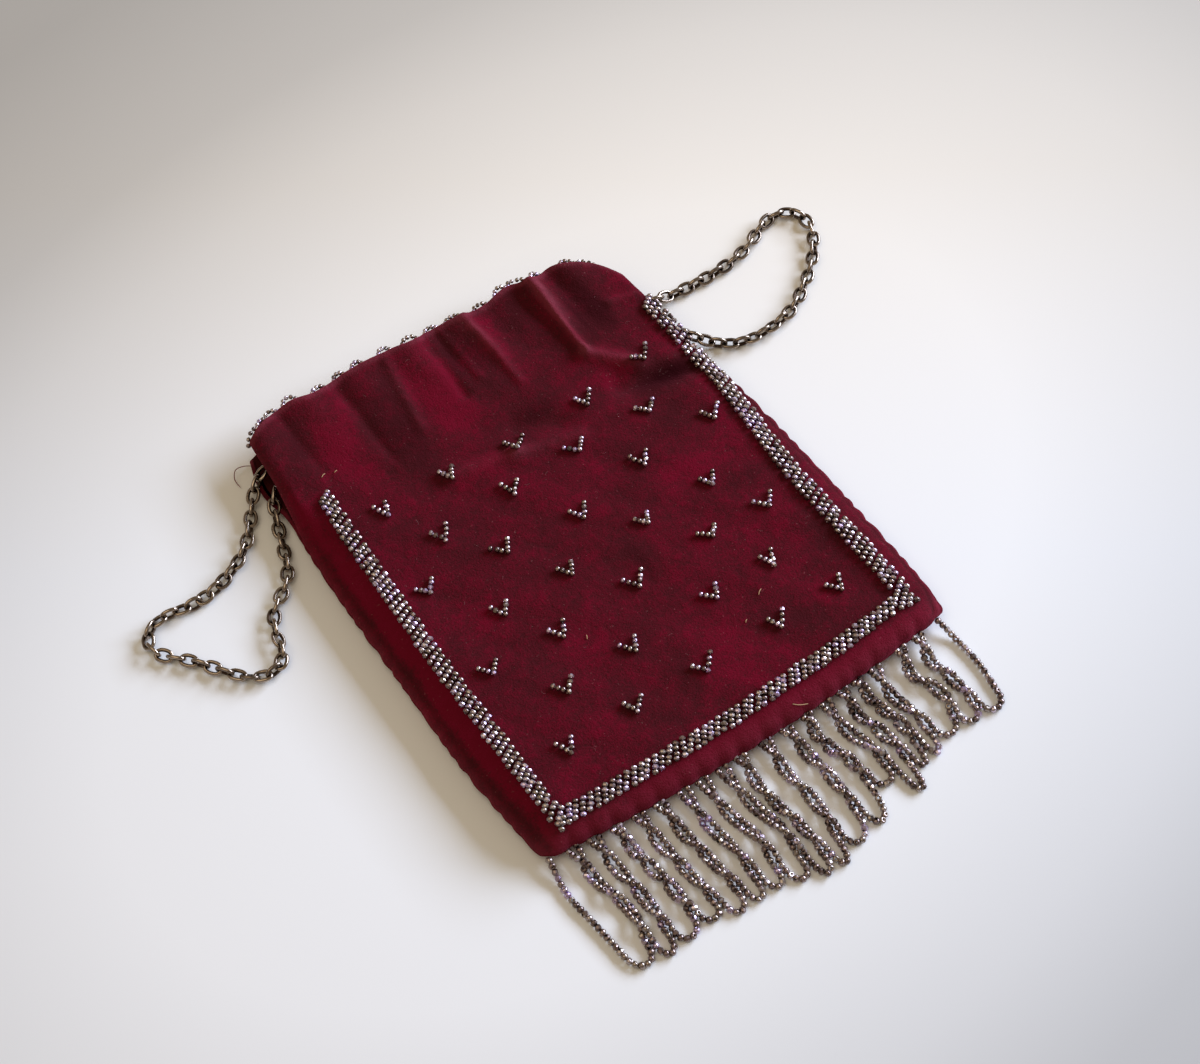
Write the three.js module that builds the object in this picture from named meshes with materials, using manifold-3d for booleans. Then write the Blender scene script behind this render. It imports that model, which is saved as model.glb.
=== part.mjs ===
// A velvet drawstring purse with bead trim, lying on its back with its mouth towards +Y.
// Millimetres, +Z up. The origin is on the resting face, under the middle of the front panel.
import * as THREE from 'three';
import { mergeVertices } from 'three/addons/utils/BufferGeometryUtils.js';
import ManifoldModule from 'manifold-3d';

const wasm = await ManifoldModule();
wasm.setup();

// Pouch: heights above the table, and how far in from a seam each panel takes to level out.
const WALL = 1.3;
const HEADER_WALL = 2.0;
const SEAM_HEIGHT = 3.2;
const CROWN_HEIGHT = 10.5;
const FRONT_ROLL = 13;
const HEADER_ROLL = 4;
const BACK_ROLL = 8;
const HEADER_FOOT = 60;
const HEADER_BLEND = 22;

// The bottom seam bows out below the side seams' feet.
const BOTTOM_Y = -68;
const BOTTOM_BOW = 5;
const BOW_CENTRE_X = 12;
const BOW_REACH = 73;

// Side seams in plan, a row for each height up the pouch.
const SEAM_ROWS = [
  { y: -68, left: -56.5, right: 58.0 },
  { y: -64, left: -61.2, right: 62.0 },
  { y: -56, left: -62.9, right: 63.4 },
  { y: -30, left: -64.7, right: 63.2 },
  { y: 0, left: -64.3, right: 62.3 },
  { y: 30, left: -63.9, right: 60.6 },
  { y: 50, left: -62.8, right: 58.2 },
  { y: 66, left: -60.6, right: 56.3 },
  { y: 84, left: -59.2, right: 54.8 },
];

// Mouth edge in plan, from the left corner over the gathers' lobes to the rounded right corner.
const MOUTH_ROWS = [
  { x: -60, y: 80.5 },
  { x: -52, y: 84.2 },
  { x: -44, y: 85.4 },
  { x: -37, y: 83.8 },
  { x: -28, y: 84.9 },
  { x: -13, y: 84.2 },
  { x: -6, y: 82.6 },
  { x: 1, y: 83.6 },
  { x: 10, y: 81.9 },
  { x: 19, y: 82.0 },
  { x: 27, y: 83.4 },
  { x: 32, y: 80.4 },
  { x: 39, y: 82.0 },
  { x: 45, y: 79.2 },
  { x: 51, y: 74.4 },
  { x: 56, y: 66.0 },
];
const MOUTH_TOP = 84;

// Gathers of the header: each runs from the mouth to its foot, a ridge where height is positive.
const GATHER_ROWS = [
  { mouthX: -51, footX: -50, footY: 54, halfWidth: 6.0, height: 0.7 },
  { mouthX: -44, footX: -44, footY: 56, halfWidth: 2.6, height: -1.3 },
  { mouthX: -38, footX: -37, footY: 52, halfWidth: 4.5, height: 0.8 },
  { mouthX: -29, footX: -32, footY: 50, halfWidth: 2.8, height: -1.3 },
  { mouthX: -21, footX: -22, footY: 54, halfWidth: 5.0, height: 0.5 },
  { mouthX: -14, footX: -15, footY: 56, halfWidth: 2.6, height: -0.8 },
  { mouthX: -7, footX: -6, footY: 52, halfWidth: 4.5, height: 0.9 },
  { mouthX: 1, footX: 1, footY: 55, halfWidth: 2.8, height: -1.4 },
  { mouthX: 9, footX: 14, footY: 50, halfWidth: 3.0, height: 1.4 },
  { mouthX: 17, footX: 20, footY: 54, halfWidth: 4.0, height: -0.7 },
  { mouthX: 27, footX: 28, footY: 54, halfWidth: 3.4, height: -1.5 },
  { mouthX: 32.5, footX: 33, footY: 50, halfWidth: 2.4, height: 2.4 },
  { mouthX: 37.5, footX: 39, footY: 54, halfWidth: 3.0, height: -1.4 },
  { mouthX: 46, footX: 47, footY: 56, halfWidth: 5.0, height: 0.8 },
];
const GATHER_FULL_SHARE = 0.1;
const INNER_GATHER_SHARE = 0.5;
const INNER_GATHER_HALF_WIDTH = 4.5;

// Slits that leave the side seams open beside the header, outlined in Y and Z.
const SLIT_ROWS = [
  { y: 60, z: 4.6 },
  { y: 64, z: 2.2 },
  { y: 92, z: 2.0 },
  { y: 92, z: 7.6 },
  { y: 64, z: 7.0 },
];
const SLIT_FOOT_SHIFT = { left: 0, right: -21 };
const SLIT_DEPTH = 5;
const SLIT_REACH = 6;
const MOUTH_CUT = 4;

// Lofting steps: shares of the way up the pouch, and of the way across its front and back.
const OUTER_STEPS = [0, 0.01, 0.035, 0.085, 0.25, 0.45, 0.62, 0.74, 0.81, 0.87, 0.935, 1];
const INNER_STEPS = [0, 0.025, 0.085, 0.4, 0.66, 0.78, 0.88, 1];
const OUTER_COLUMNS = { front: 32, back: [0, 0.012, 0.04, 0.35, 0.65, 0.96, 0.988, 1] };
const INNER_COLUMNS = { front: 20, back: [0, 0.015, 0.05, 0.95, 0.985, 1] };
const EDGE_CROWDING = 0.45;
const SEAM_EDGE = 0.6;

// Bead border: a band sewn round three sides of the front panel, with the X of its two sides by height.
// Its bottom side bows down like the seam under it.
const BORDER = { top: 56, width: 4.8, thickness: 1.3, gap: 0.6 };
const BORDER_BOTTOM = { y: -60.5, bow: 2.5, centreX: 3, reach: 57 };
const BORDER_ROWS = [
  { y: -58, left: -54.6, right: 54.6 },
  { y: -30, left: -54.8, right: 54.2 },
  { y: 0, left: -54.8, right: 54.8 },
  { y: 20, left: -53.6, right: 55.8 },
  { y: 40, left: -52.6, right: 55.0 },
  { y: 56, left: -51.9, right: 54.0 },
];
const BORDER_SIDE_STEPS = [0, 0.03, 0.07, 0.12, 0.18, 0.26, 0.4, 0.6, 0.78, 0.88, 0.93, 0.97, 1];
const BORDER_BOTTOM_STEPS = [0.03, 0.07, 0.12, 0.22, 0.4, 0.6, 0.78, 0.88, 0.93, 0.97];

// Bead fringe: legs hang from the bottom seam and neighbouring legs share a loop.
// Each row gives a leg's X at the head, a third down, two thirds down and at its end, its end's Y,
// and the Y of the loop to the next leg.
const LEG_ROWS = [
  { headX: -61.6, upperX: -62.2, lowerX: -61.0, endX: -60.0, endY: -93.0, loopY: -98.6 },
  { headX: -54.4, upperX: -54.1, lowerX: -52.0, endX: -53.0, endY: -95.5, loopY: -99.8 },
  { headX: -48.6, upperX: -48.0, lowerX: -47.2, endX: -47.2, endY: -96.0, loopY: -99.2 },
  { headX: -42.4, upperX: -41.7, lowerX: -40.2, endX: -39.6, endY: -95.5, loopY: -98.6 },
  { headX: -35.8, upperX: -35.4, lowerX: -34.3, endX: -33.0, endY: -96.5, loopY: -100.8 },
  { headX: -29.7, upperX: -29.1, lowerX: -27.8, endX: -26.6, endY: -97.0, loopY: -101.0 },
  { headX: -22.7, upperX: -22.8, lowerX: -21.4, endX: -21.1, endY: -97.0, loopY: -101.0 },
  { headX: -17.2, upperX: -17.0, lowerX: -14.8, endX: -15.3, endY: -98.0, loopY: -102.8 },
  { headX: -11.3, upperX: -10.8, lowerX: -8.6, endX: -8.8, endY: -99.5, loopY: -105.2 },
  { headX: -5.5, upperX: -6.0, lowerX: -4.3, endX: -3.4, endY: -101.0, loopY: -105.4 },
  { headX: 2.2, upperX: 1.9, lowerX: 2.7, endX: 2.0, endY: -99.0, loopY: -103.0 },
  { headX: 8.6, upperX: 9.4, lowerX: 10.2, endX: 10.2, endY: -96.5, loopY: -101.6 },
  { headX: 15.2, upperX: 14.4, lowerX: 16.8, endX: 17.6, endY: -91.5, loopY: -94.4 },
  { headX: 21.3, upperX: 21.2, lowerX: 23.4, endX: 24.3, endY: -92.0, loopY: -100.7 },
  { headX: 26.9, upperX: 26.7, lowerX: 28.7, endX: 29.6, endY: -92.5, loopY: -95.8 },
  { headX: 31.6, upperX: 32.0, lowerX: 33.8, endX: 34.2, endY: -90.5, loopY: -95.0 },
  { headX: 37.7, upperX: 36.9, lowerX: 38.4, endX: 39.2, endY: -90.0, loopY: -92.9 },
  { headX: 46.9, upperX: 44.9, lowerX: 47.8, endX: 46.6, endY: -90.0, loopY: -93.4 },
  { headX: 52.7, upperX: 51.4, lowerX: 52.8, endX: 53.2, endY: -90.5, loopY: -94.0 },
  { headX: 62.4, upperX: 61.0, lowerX: 61.2, endX: 60.0, endY: -90.0, loopY: -94.0 },
];
const STRAND_HALF_WIDTH = 0.62;
const PAIR_HALF_WIDTH = 1.25;
const FRINGE_THICKNESS = 1.9;
const FRINGE_CLEARANCE = 0.05;
const HEAD_GAP = 0.4;
const HEAD_DEPTH = 1.5;
const HEAD_LIFT = 1.4;
const HEAD_LIFT_REACH = 11;
const HEAD_STEPS = 10;
const LOOP_STEPS = 4;

// Cable chains: one loop leaves the slit on each side. A link's corners are shares of its half length and
// half width, and each route is a list of points X, Y, Z.
const LINK = { length: 5.9, width: 3.5, wire: 0.95, bite: 0.05, roll: 25 };
const LINK_CORNERS = [[1, 0.42], [0.66, 1]];
const WIRE_SIDES = 5;
const CHORD_STEPS = 60;
const LEFT_ROUTE = [
  [-57.0, 75.4, 4.7], [-60.3, 74.6, 4.4], [-64.6, 71.6, 2.9], [-68.8, 66.4, 1.9], [-72.6, 61.4, 1.7],
  [-77.0, 57.3, 1.7], [-83.0, 54.0, 1.7], [-90.0, 51.8, 1.7], [-97.0, 51.6, 1.7], [-103.6, 52.8, 1.7],
  [-108.8, 51.6, 1.7], [-111.2, 47.6, 1.7], [-110.4, 43.8, 1.7], [-106.4, 39.6, 1.7], [-102.2, 34.2, 1.7],
  [-98.4, 28.8, 1.7], [-93.8, 23.8, 1.7], [-88.8, 22.0, 1.7], [-85.2, 23.6, 1.7], [-83.0, 28.4, 1.7],
  [-81.6, 33.6, 1.7], [-78.4, 38.2, 1.7], [-73.0, 42.0, 1.7], [-69.6, 46.4, 1.7], [-67.6, 51.6, 1.7],
  [-65.6, 56.8, 1.9], [-63.6, 62.4, 3.0], [-60.6, 67.4, 4.4], [-57.0, 69.2, 4.7],
];
const RIGHT_ROUTE = [
  [53.4, 60.8, 4.7], [57.0, 60.2, 4.6], [61.0, 59.7, 3.4], [65.2, 59.3, 2.0], [70.2, 58.9, 1.7],
  [76.4, 58.6, 1.7], [83.0, 58.8, 1.7], [89.0, 59.6, 1.7], [95.0, 61.6, 1.7], [100.4, 64.2, 1.7],
  [105.8, 65.2, 1.7], [110.4, 63.2, 1.7], [112.2, 58.6, 1.7], [110.6, 53.2, 1.7], [107.0, 48.4, 1.7],
  [102.4, 44.0, 1.7], [96.6, 39.8, 1.7], [90.6, 36.2, 1.7], [84.4, 34.6, 1.7], [77.8, 34.2, 1.7],
  [71.4, 35.2, 1.7], [66.4, 38.2, 1.8], [62.8, 41.8, 2.7], [59.8, 44.8, 4.1], [56.6, 47.0, 4.7],
  [53.6, 48.2, 4.7],
];

const VELVET = new THREE.MeshStandardMaterial({ color: 0x5a1220, roughness: 0.95, metalness: 0 });
const CUT_STEEL = new THREE.MeshStandardMaterial({ color: 0x8d8178, roughness: 0.3, metalness: 1 });
const AGED_NICKEL = new THREE.MeshStandardMaterial({ color: 0x7b736a, roughness: 0.35, metalness: 1 });

const lerp = THREE.MathUtils.lerp;
const smoothstep = THREE.MathUtils.smoothstep;

// A smooth curve through the rows of a table: Hermite pieces with the slopes of their neighbours.
function rowValue(rows, at, key, value) {
  const last = rows.length - 1;
  const clamped = THREE.MathUtils.clamp(value, rows[0][at], rows[last][at]);
  const found = rows.findIndex((row) => clamped <= row[at]);
  const i = Math.max(found, 1) - 1;
  const slope = (k) => {
    const before = rows[Math.max(k - 1, 0)];
    const after = rows[Math.min(k + 1, last)];
    return (after[key] - before[key]) / (after[at] - before[at]);
  };
  const span = rows[i + 1][at] - rows[i][at];
  const t = (clamped - rows[i][at]) / span;
  const bend = t * (1 - t) * span;
  return lerp(rows[i][key], rows[i + 1][key], t * t * (3 - 2 * t))
    + bend * ((1 - t) * slope(i) - t * slope(i + 1));
}

const seamX = (side, y) => rowValue(SEAM_ROWS, 'y', side, y);
const mouthY = (x) => rowValue(MOUTH_ROWS, 'x', 'y', x);
const bottomY = (x) => BOTTOM_Y + BOTTOM_BOW * ((x - BOW_CENTRE_X) / BOW_REACH) ** 2;
const borderX = (side, y) => rowValue(BORDER_ROWS, 'y', side, y);
const borderBottomY = (x) =>
  BORDER_BOTTOM.y + BORDER_BOTTOM.bow * ((x - BORDER_BOTTOM.centreX) / BORDER_BOTTOM.reach) ** 2;

// A quarter ellipse: 0 at the seam, 1 once the panel has levelled out.
function roundOver(distance, roll) {
  const t = THREE.MathUtils.clamp(distance / roll, 0, 1);
  return Math.sqrt(1 - (1 - t) ** 2);
}

// Height that the gathers add: bell-shaped ridges and valleys that fade towards their feet.
function gatherHeight(x, y, leastHalfWidth) {
  let height = 0;
  for (const gather of GATHER_ROWS) {
    const down = (mouthY(gather.mouthX) - y) / (mouthY(gather.mouthX) - gather.footY);
    const fade = 1 - smoothstep(down, GATHER_FULL_SHARE, 1);
    const halfWidth = Math.max(gather.halfWidth, leastHalfWidth);
    const across = (x - lerp(gather.mouthX, gather.footX, down)) / halfWidth;
    height += gather.height * fade * Math.exp(-across * across);
  }
  return height;
}

const headerShare = (y) => smoothstep(y, HEADER_FOOT - HEADER_BLEND, HEADER_FOOT);

// How far a panel has levelled out at a point, from 0 at a seam to 1, for a surface set in by inset.
function levelShare(x, y, roll, bottomRoll, inset) {
  return roundOver(x - seamX('left', y) - inset, roll - inset)
    * roundOver(seamX('right', y) - inset - x, roll - inset)
    * roundOver(y - bottomY(x) - inset, bottomRoll - inset);
}

function frontHeight(x, y, inset = 0) {
  const roll = lerp(FRONT_ROLL, HEADER_ROLL, headerShare(y));
  const wall = inset ? lerp(inset, HEADER_WALL, headerShare(y)) : 0;
  const gathers = inset
    ? INNER_GATHER_SHARE * gatherHeight(x, y, INNER_GATHER_HALF_WIDTH)
    : gatherHeight(x, y, 0);
  const level = levelShare(x, y, roll, FRONT_ROLL, inset);
  return SEAM_HEIGHT + level * (CROWN_HEIGHT - wall - SEAM_HEIGHT + gathers);
}

function backHeight(x, y, inset = 0) {
  const level = levelShare(x, y, BACK_ROLL, BACK_ROLL, inset);
  return lerp(SEAM_HEIGHT, inset, level);
}

// A closed body from rings of equal length. A ring's first points, up to split, are one long side and
// the rest come back along the other, so each end is closed by a strip zipped between the two sides.
function loft(rings, split) {
  const count = rings[0].length;
  const positions = rings.flat().flatMap((p) => [p.x, p.y, p.z]);
  const triangles = [];
  for (let r = 0; r + 1 < rings.length; r++) {
    for (let c = 0; c < count; c++) {
      const a = r * count + c;
      const b = r * count + (c + 1) % count;
      triangles.push(a, b, a + count, b, b + count, a + count);
    }
  }
  const lastStart = (rings.length - 1) * count;
  let [near, far] = [0, count - 1];
  while (near < split - 1 || far > split) {
    const nearShare = (near + 1) / (split - 1);
    const farShare = (count - far) / (count - 1 - split);
    const stepNear = near < split - 1 && (far === split || nearShare <= farShare);
    const corner = stepNear ? near + 1 : far - 1;
    triangles.push(near, far, corner, lastStart + near, lastStart + corner, lastStart + far);
    if (stepNear) near += 1;
    else far -= 1;
  }
  const geometry = new THREE.BufferGeometry();
  geometry.setAttribute('position', new THREE.Float32BufferAttribute(positions, 3));
  geometry.setIndex(triangles);
  return geometry;
}

function toManifold(geometry) {
  const bare = geometry.clone();
  bare.deleteAttribute('normal');
  bare.deleteAttribute('uv');
  const merged = mergeVertices(bare);
  return new wasm.Manifold(new wasm.Mesh({
    numProp: 3,
    vertProperties: new Float32Array(merged.attributes.position.array),
    triVerts: new Uint32Array(merged.index.array),
  }));
}

function toGeometry(solid) {
  const { vertProperties, triVerts, numProp } = solid.getMesh();
  const positions = new Float32Array((vertProperties.length / numProp) * 3);
  for (let i = 0; i < positions.length / 3; i++) {
    positions.set(vertProperties.subarray(i * numProp, i * numProp + 3), i * 3);
  }
  const geometry = new THREE.BufferGeometry();
  geometry.setAttribute('position', new THREE.BufferAttribute(positions, 3));
  geometry.setIndex(new THREE.BufferAttribute(new Uint32Array(triVerts), 1));
  return geometry;
}

// One ring of the pouch, share of the way up: the front panel left to right, then the back.
function pouchRing(share, columns, inset) {
  const ring = [];
  const place = (across, height, edge) => {
    const y0 = lerp(BOTTOM_Y + BOTTOM_BOW, MOUTH_TOP, share);
    const x = lerp(seamX('left', y0) + inset, seamX('right', y0) - inset, across);
    const y = lerp(bottomY(x) + inset, mouthY(x), share);
    ring.push(new THREE.Vector3(x, y, height(x, y, inset) + edge));
  };
  for (let c = 0; c <= columns.front; c++) {
    const even = c / columns.front;
    place(lerp(even, (1 - Math.cos(Math.PI * even)) / 2, EDGE_CROWDING), frontHeight, SEAM_EDGE / 2);
  }
  for (const across of columns.back.toReversed()) {
    place(across, backHeight, 0);
  }
  return ring;
}

function slitCutter(side) {
  const outline = new THREE.Shape(SLIT_ROWS.map((row) => new THREE.Vector2(row.y, row.z)));
  const cutter = new THREE.ExtrudeGeometry(outline, { depth: SLIT_DEPTH + SLIT_REACH, bevelEnabled: false });
  // The outline's Y and Z become the purse's Y and Z, and the extrusion runs along X.
  cutter.applyMatrix4(new THREE.Matrix4().makeBasis(
    new THREE.Vector3(0, 1, 0), new THREE.Vector3(0, 0, 1), new THREE.Vector3(1, 0, 0)));
  const edge = seamX(side, HEADER_FOOT);
  cutter.translate(side === 'left' ? edge - SLIT_REACH : edge - SLIT_DEPTH, SLIT_FOOT_SHIFT[side], 0);
  return cutter;
}

function velvetPouch() {
  const outer = loft(OUTER_STEPS.map((share) => pouchRing(share, OUTER_COLUMNS, 0)), OUTER_COLUMNS.front + 1);
  const innerRings = INNER_STEPS.map((share) => pouchRing(share, INNER_COLUMNS, WALL));
  const pastMouth = innerRings.at(-1).map((p) => p.clone().setY(p.y + MOUTH_CUT));
  const cavity = loft([...innerRings, pastMouth], INNER_COLUMNS.front + 1);
  let solid = toManifold(outer).subtract(toManifold(cavity));
  for (const side of ['left', 'right']) {
    solid = solid.subtract(toManifold(slitCutter(side)));
  }
  return toGeometry(solid);
}

// A thin band that follows the front panel round three sides, mitred at its corners. Its section has an
// inner, a middle and an outer line, so that it bends over the panel's roll.
function beadBorder() {
  const half = BORDER.width / 2;
  const sideStations = (side, outward) => BORDER_SIDE_STEPS.map((share) => {
    const y = lerp(BORDER.top, borderBottomY(BORDER_ROWS[0][side]), share);
    const x = borderX(side, y);
    const mitre = share === 1 ? half : 0;
    return { outer: [x + outward * half, y - mitre], inner: [x - outward * half, y + mitre] };
  });
  const bottomStations = BORDER_BOTTOM_STEPS.map((share) => {
    const x = lerp(BORDER_ROWS[0].left, BORDER_ROWS[0].right, share);
    const y = borderBottomY(x);
    return { outer: [x, y - half], inner: [x, y + half] };
  });
  const stations = [...sideStations('left', -1), ...bottomStations, ...sideStations('right', 1).reverse()];
  const lifted = ([x, y], lift) => new THREE.Vector3(x, y, frontHeight(x, y) + SEAM_EDGE / 2 + lift);
  const rings = stations.map(({ outer, inner }) => {
    const middle = [(outer[0] + inner[0]) / 2, (outer[1] + inner[1]) / 2];
    const under = [outer, middle, inner].map((place) => lifted(place, BORDER.gap));
    const over = [inner, middle, outer].map((place) => lifted(place, BORDER.gap + BORDER.thickness));
    return [...under, ...over];
  });
  return loft(rings, rings[0].length / 2);
}

const isPair = (i) => i > 0 && i < LEG_ROWS.length - 1;
const legHalfWidth = (i) => (isPair(i) ? PAIR_HALF_WIDTH : STRAND_HALF_WIDTH);

// Points down one side of a leg, from the head to its end; side is -1 for left and 1 for right.
function legSide(i, side) {
  const leg = LEG_ROWS[i];
  const headY = bottomY(leg.headX) - HEAD_GAP - HEAD_DEPTH;
  const xs = [leg.headX, leg.upperX, leg.lowerX, leg.endX];
  return xs.map((x, k) => new THREE.Vector2(x + side * legHalfWidth(i), lerp(headY, leg.endY, k / (xs.length - 1))));
}

// The loop from leg i to the next: a cubic that leaves both legs straight down, set out by offset.
function loopSide(i, offset) {
  const [from, to] = [LEG_ROWS[i], LEG_ROWS[i + 1]];
  const fromX = from.endX + legHalfWidth(i) - STRAND_HALF_WIDTH;
  const toX = to.endX - legHalfWidth(i + 1) + STRAND_HALF_WIDTH;
  const controlY = (8 * from.loopY - from.endY - to.endY) / 6;
  const curve = new THREE.CubicBezierCurve(
    new THREE.Vector2(fromX, from.endY), new THREE.Vector2(fromX, controlY),
    new THREE.Vector2(toX, controlY), new THREE.Vector2(toX, to.endY));
  const points = [];
  for (let k = 1; k < LOOP_STEPS; k++) {
    const tangent = curve.getTangent(k / LOOP_STEPS);
    const normal = new THREE.Vector2(tangent.y, -tangent.x);
    points.push(curve.getPoint(k / LOOP_STEPS).addScaledVector(normal, offset));
  }
  return points;
}

// The fringe as one body: legs fused to a head along the seam, with a gap inside each loop.
function beadFringe() {
  const last = LEG_ROWS.length - 1;
  const outline = [];
  for (let k = 0; k <= HEAD_STEPS; k++) {
    const x = lerp(LEG_ROWS[last].headX + STRAND_HALF_WIDTH, LEG_ROWS[0].headX - STRAND_HALF_WIDTH, k / HEAD_STEPS);
    outline.push(new THREE.Vector2(x, bottomY(x) - HEAD_GAP));
  }
  outline.push(...legSide(0, -1));
  for (let i = 0; i < last; i++) {
    outline.push(...loopSide(i, STRAND_HALF_WIDTH));
    if (isPair(i + 1)) {
      outline.push(new THREE.Vector2(LEG_ROWS[i + 1].endX, LEG_ROWS[i + 1].endY));
    }
  }
  outline.push(...legSide(last, 1).reverse());
  const shape = new THREE.Shape(outline);
  for (let i = 0; i < last; i++) {
    const gap = [...legSide(i, 1), ...loopSide(i, -STRAND_HALF_WIDTH), ...legSide(i + 1, -1).reverse()];
    shape.holes.push(new THREE.Path(gap));
  }
  const geometry = new THREE.ExtrudeGeometry(shape, { depth: FRINGE_THICKNESS, bevelEnabled: false, steps: 1 });
  const position = geometry.attributes.position;
  for (let v = 0; v < position.count; v++) {
    const drop = bottomY(position.getX(v)) - position.getY(v);
    const lift = HEAD_LIFT * (1 - smoothstep(drop, 0, HEAD_LIFT_REACH));
    position.setZ(v, position.getZ(v) + FRINGE_CLEARANCE + lift);
  }
  return geometry;
}

// An oval link of round wire in its own XY plane, long in X: ten straights, closed on itself.
function oneLink() {
  const endX = (LINK.length - LINK.wire) / 2;
  const sideY = (LINK.width - LINK.wire) / 2;
  const ring = [
    ...LINK_CORNERS,
    [0, 1],
    ...LINK_CORNERS.map(([x, y]) => [-x, y]).reverse(),
    ...LINK_CORNERS.map(([x, y]) => [-x, -y]),
    [0, -1],
    ...LINK_CORNERS.map(([x, y]) => [x, -y]).reverse(),
  ].map(([x, y]) => new THREE.Vector2(x * endX, y * sideY));
  const count = ring.length;
  const positions = [];
  const triangles = [];
  for (let i = 0; i < count; i++) {
    const before = ring[i].clone().sub(ring[(i + count - 1) % count]).normalize();
    const after = ring[(i + 1) % count].clone().sub(ring[i]).normalize();
    const along = before.clone().add(after).normalize();
    const mitre = 1 / along.dot(after);
    for (let s = 0; s < WIRE_SIDES; s++) {
      const angle = (2 * Math.PI * s) / WIRE_SIDES + Math.PI;
      const out = mitre * (LINK.wire / 2) * Math.cos(angle);
      positions.push(ring[i].x + along.y * out, ring[i].y - along.x * out, (LINK.wire / 2) * Math.sin(angle));
      const next = (i + 1) % count;
      const side = (s + 1) % WIRE_SIDES;
      const [a, b] = [i * WIRE_SIDES + s, next * WIRE_SIDES + s];
      const [c, d] = [next * WIRE_SIDES + side, i * WIRE_SIDES + side];
      triangles.push(a, b, c, a, c, d);
    }
  }
  const geometry = new THREE.BufferGeometry();
  geometry.setAttribute('position', new THREE.Float32BufferAttribute(positions, 3));
  geometry.setIndex(triangles);
  return geometry;
}

// Points a link's reach apart along a curve, measured straight from each to the next.
function chordPoints(curve, reach) {
  const points = [curve.getPoint(0)];
  const steps = curve.points.length * CHORD_STEPS;
  for (let k = 1; k <= steps; k++) {
    const point = curve.getPoint(k / steps);
    const before = curve.getPoint((k - 1) / steps);
    const last = points.at(-1);
    const [near, far] = [before.distanceTo(last), point.distanceTo(last)];
    if (near < reach && far >= reach) points.push(before.lerp(point, (reach - near) / (far - near)));
  }
  return points;
}

// A cable chain along a route: each link hangs in the next, turned a quarter, and bites it a little.
function cableChain(route) {
  const curve = new THREE.CatmullRomCurve3(route.map((p) => new THREE.Vector3(...p)), false, 'centripetal');
  const contacts = chordPoints(curve, LINK.length - 2 * LINK.wire + LINK.bite);
  const link = oneLink();
  const solids = contacts.slice(1).map((end, i) => {
    const along = end.clone().sub(contacts[i]).normalize();
    const level = new THREE.Vector3(0, 0, 1).cross(along).normalize();
    const upright = along.clone().cross(level);
    const roll = THREE.MathUtils.degToRad(LINK.roll + (i % 2) * 90);
    const across = level.clone().multiplyScalar(Math.cos(roll)).addScaledVector(upright, Math.sin(roll));
    const centre = end.clone().lerp(contacts[i], 0.5);
    return toManifold(link.clone().applyMatrix4(
      new THREE.Matrix4().makeBasis(along, across, along.clone().cross(across)).setPosition(centre)));
  });
  return toGeometry(wasm.Manifold.union(solids));
}

function addPiece(group, name, geometry, material) {
  const mesh = new THREE.Mesh(geometry, material);
  mesh.name = name;
  group.add(mesh);
}

const purse = new THREE.Group();
addPiece(purse, 'velvet_pouch', velvetPouch(), VELVET);
addPiece(purse, 'bead_border', beadBorder(), CUT_STEEL);
addPiece(purse, 'bead_fringe', beadFringe(), CUT_STEEL);
addPiece(purse, 'chain_left', cableChain(LEFT_ROUTE), AGED_NICKEL);
addPiece(purse, 'chain_right', cableChain(RIGHT_ROUTE), AGED_NICKEL);

export default purse;
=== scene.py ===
"""Looks of a velvet drawstring purse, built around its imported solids.

The frame is the part's own: X runs right across the front panel, Y up to the mouth and Z up from the table.
Sizes are metres, and MM scales those that are written in millimetres. Tables say which they hold.
"""
import math

import bmesh
import bpy
import numpy as np
from bpy.props import FloatProperty, FloatVectorProperty, IntProperty, PointerProperty
from mathutils import Matrix, Vector


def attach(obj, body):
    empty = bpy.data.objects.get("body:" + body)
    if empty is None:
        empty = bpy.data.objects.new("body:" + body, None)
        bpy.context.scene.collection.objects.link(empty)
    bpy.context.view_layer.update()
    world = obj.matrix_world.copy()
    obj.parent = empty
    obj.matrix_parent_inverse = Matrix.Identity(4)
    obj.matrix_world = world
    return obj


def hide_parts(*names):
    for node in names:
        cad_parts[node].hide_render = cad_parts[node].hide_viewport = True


bl_info = {
    "name": "Velvet Purse",
    "version": (1, 0, 0),
    "blender": (4, 5, 0),
    "location": "View3D > Sidebar > Purse",
    "description": "Builds the velvet, beadwork and chains of a drawstring purse",
    "category": "Object",
}

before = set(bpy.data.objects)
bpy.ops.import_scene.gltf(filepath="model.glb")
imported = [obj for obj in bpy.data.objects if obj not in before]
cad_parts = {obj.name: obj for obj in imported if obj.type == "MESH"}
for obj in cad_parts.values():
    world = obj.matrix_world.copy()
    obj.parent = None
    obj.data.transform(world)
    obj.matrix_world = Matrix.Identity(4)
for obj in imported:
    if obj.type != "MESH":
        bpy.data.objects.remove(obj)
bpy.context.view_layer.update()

MM = 0.001
UP = np.array([0.0, 0.0, 1.0])
BODY = "root"

# The pouch's form, as in its solid.
CROWN_HEIGHT = 10.5 * MM
FRONT_ROLL = 13 * MM
HEADER_ROLL = 4 * MM
BACK_ROLL = 8 * MM
HEADER_FOOT = 60 * MM
HEADER_BLEND = 22 * MM
BOTTOM_Y = -68 * MM
BOTTOM_BOW = 5 * MM
BOW_CENTRE_X = 12 * MM
BOW_REACH = 73 * MM
CORNER_RADIUS = 2.3 * MM

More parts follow.
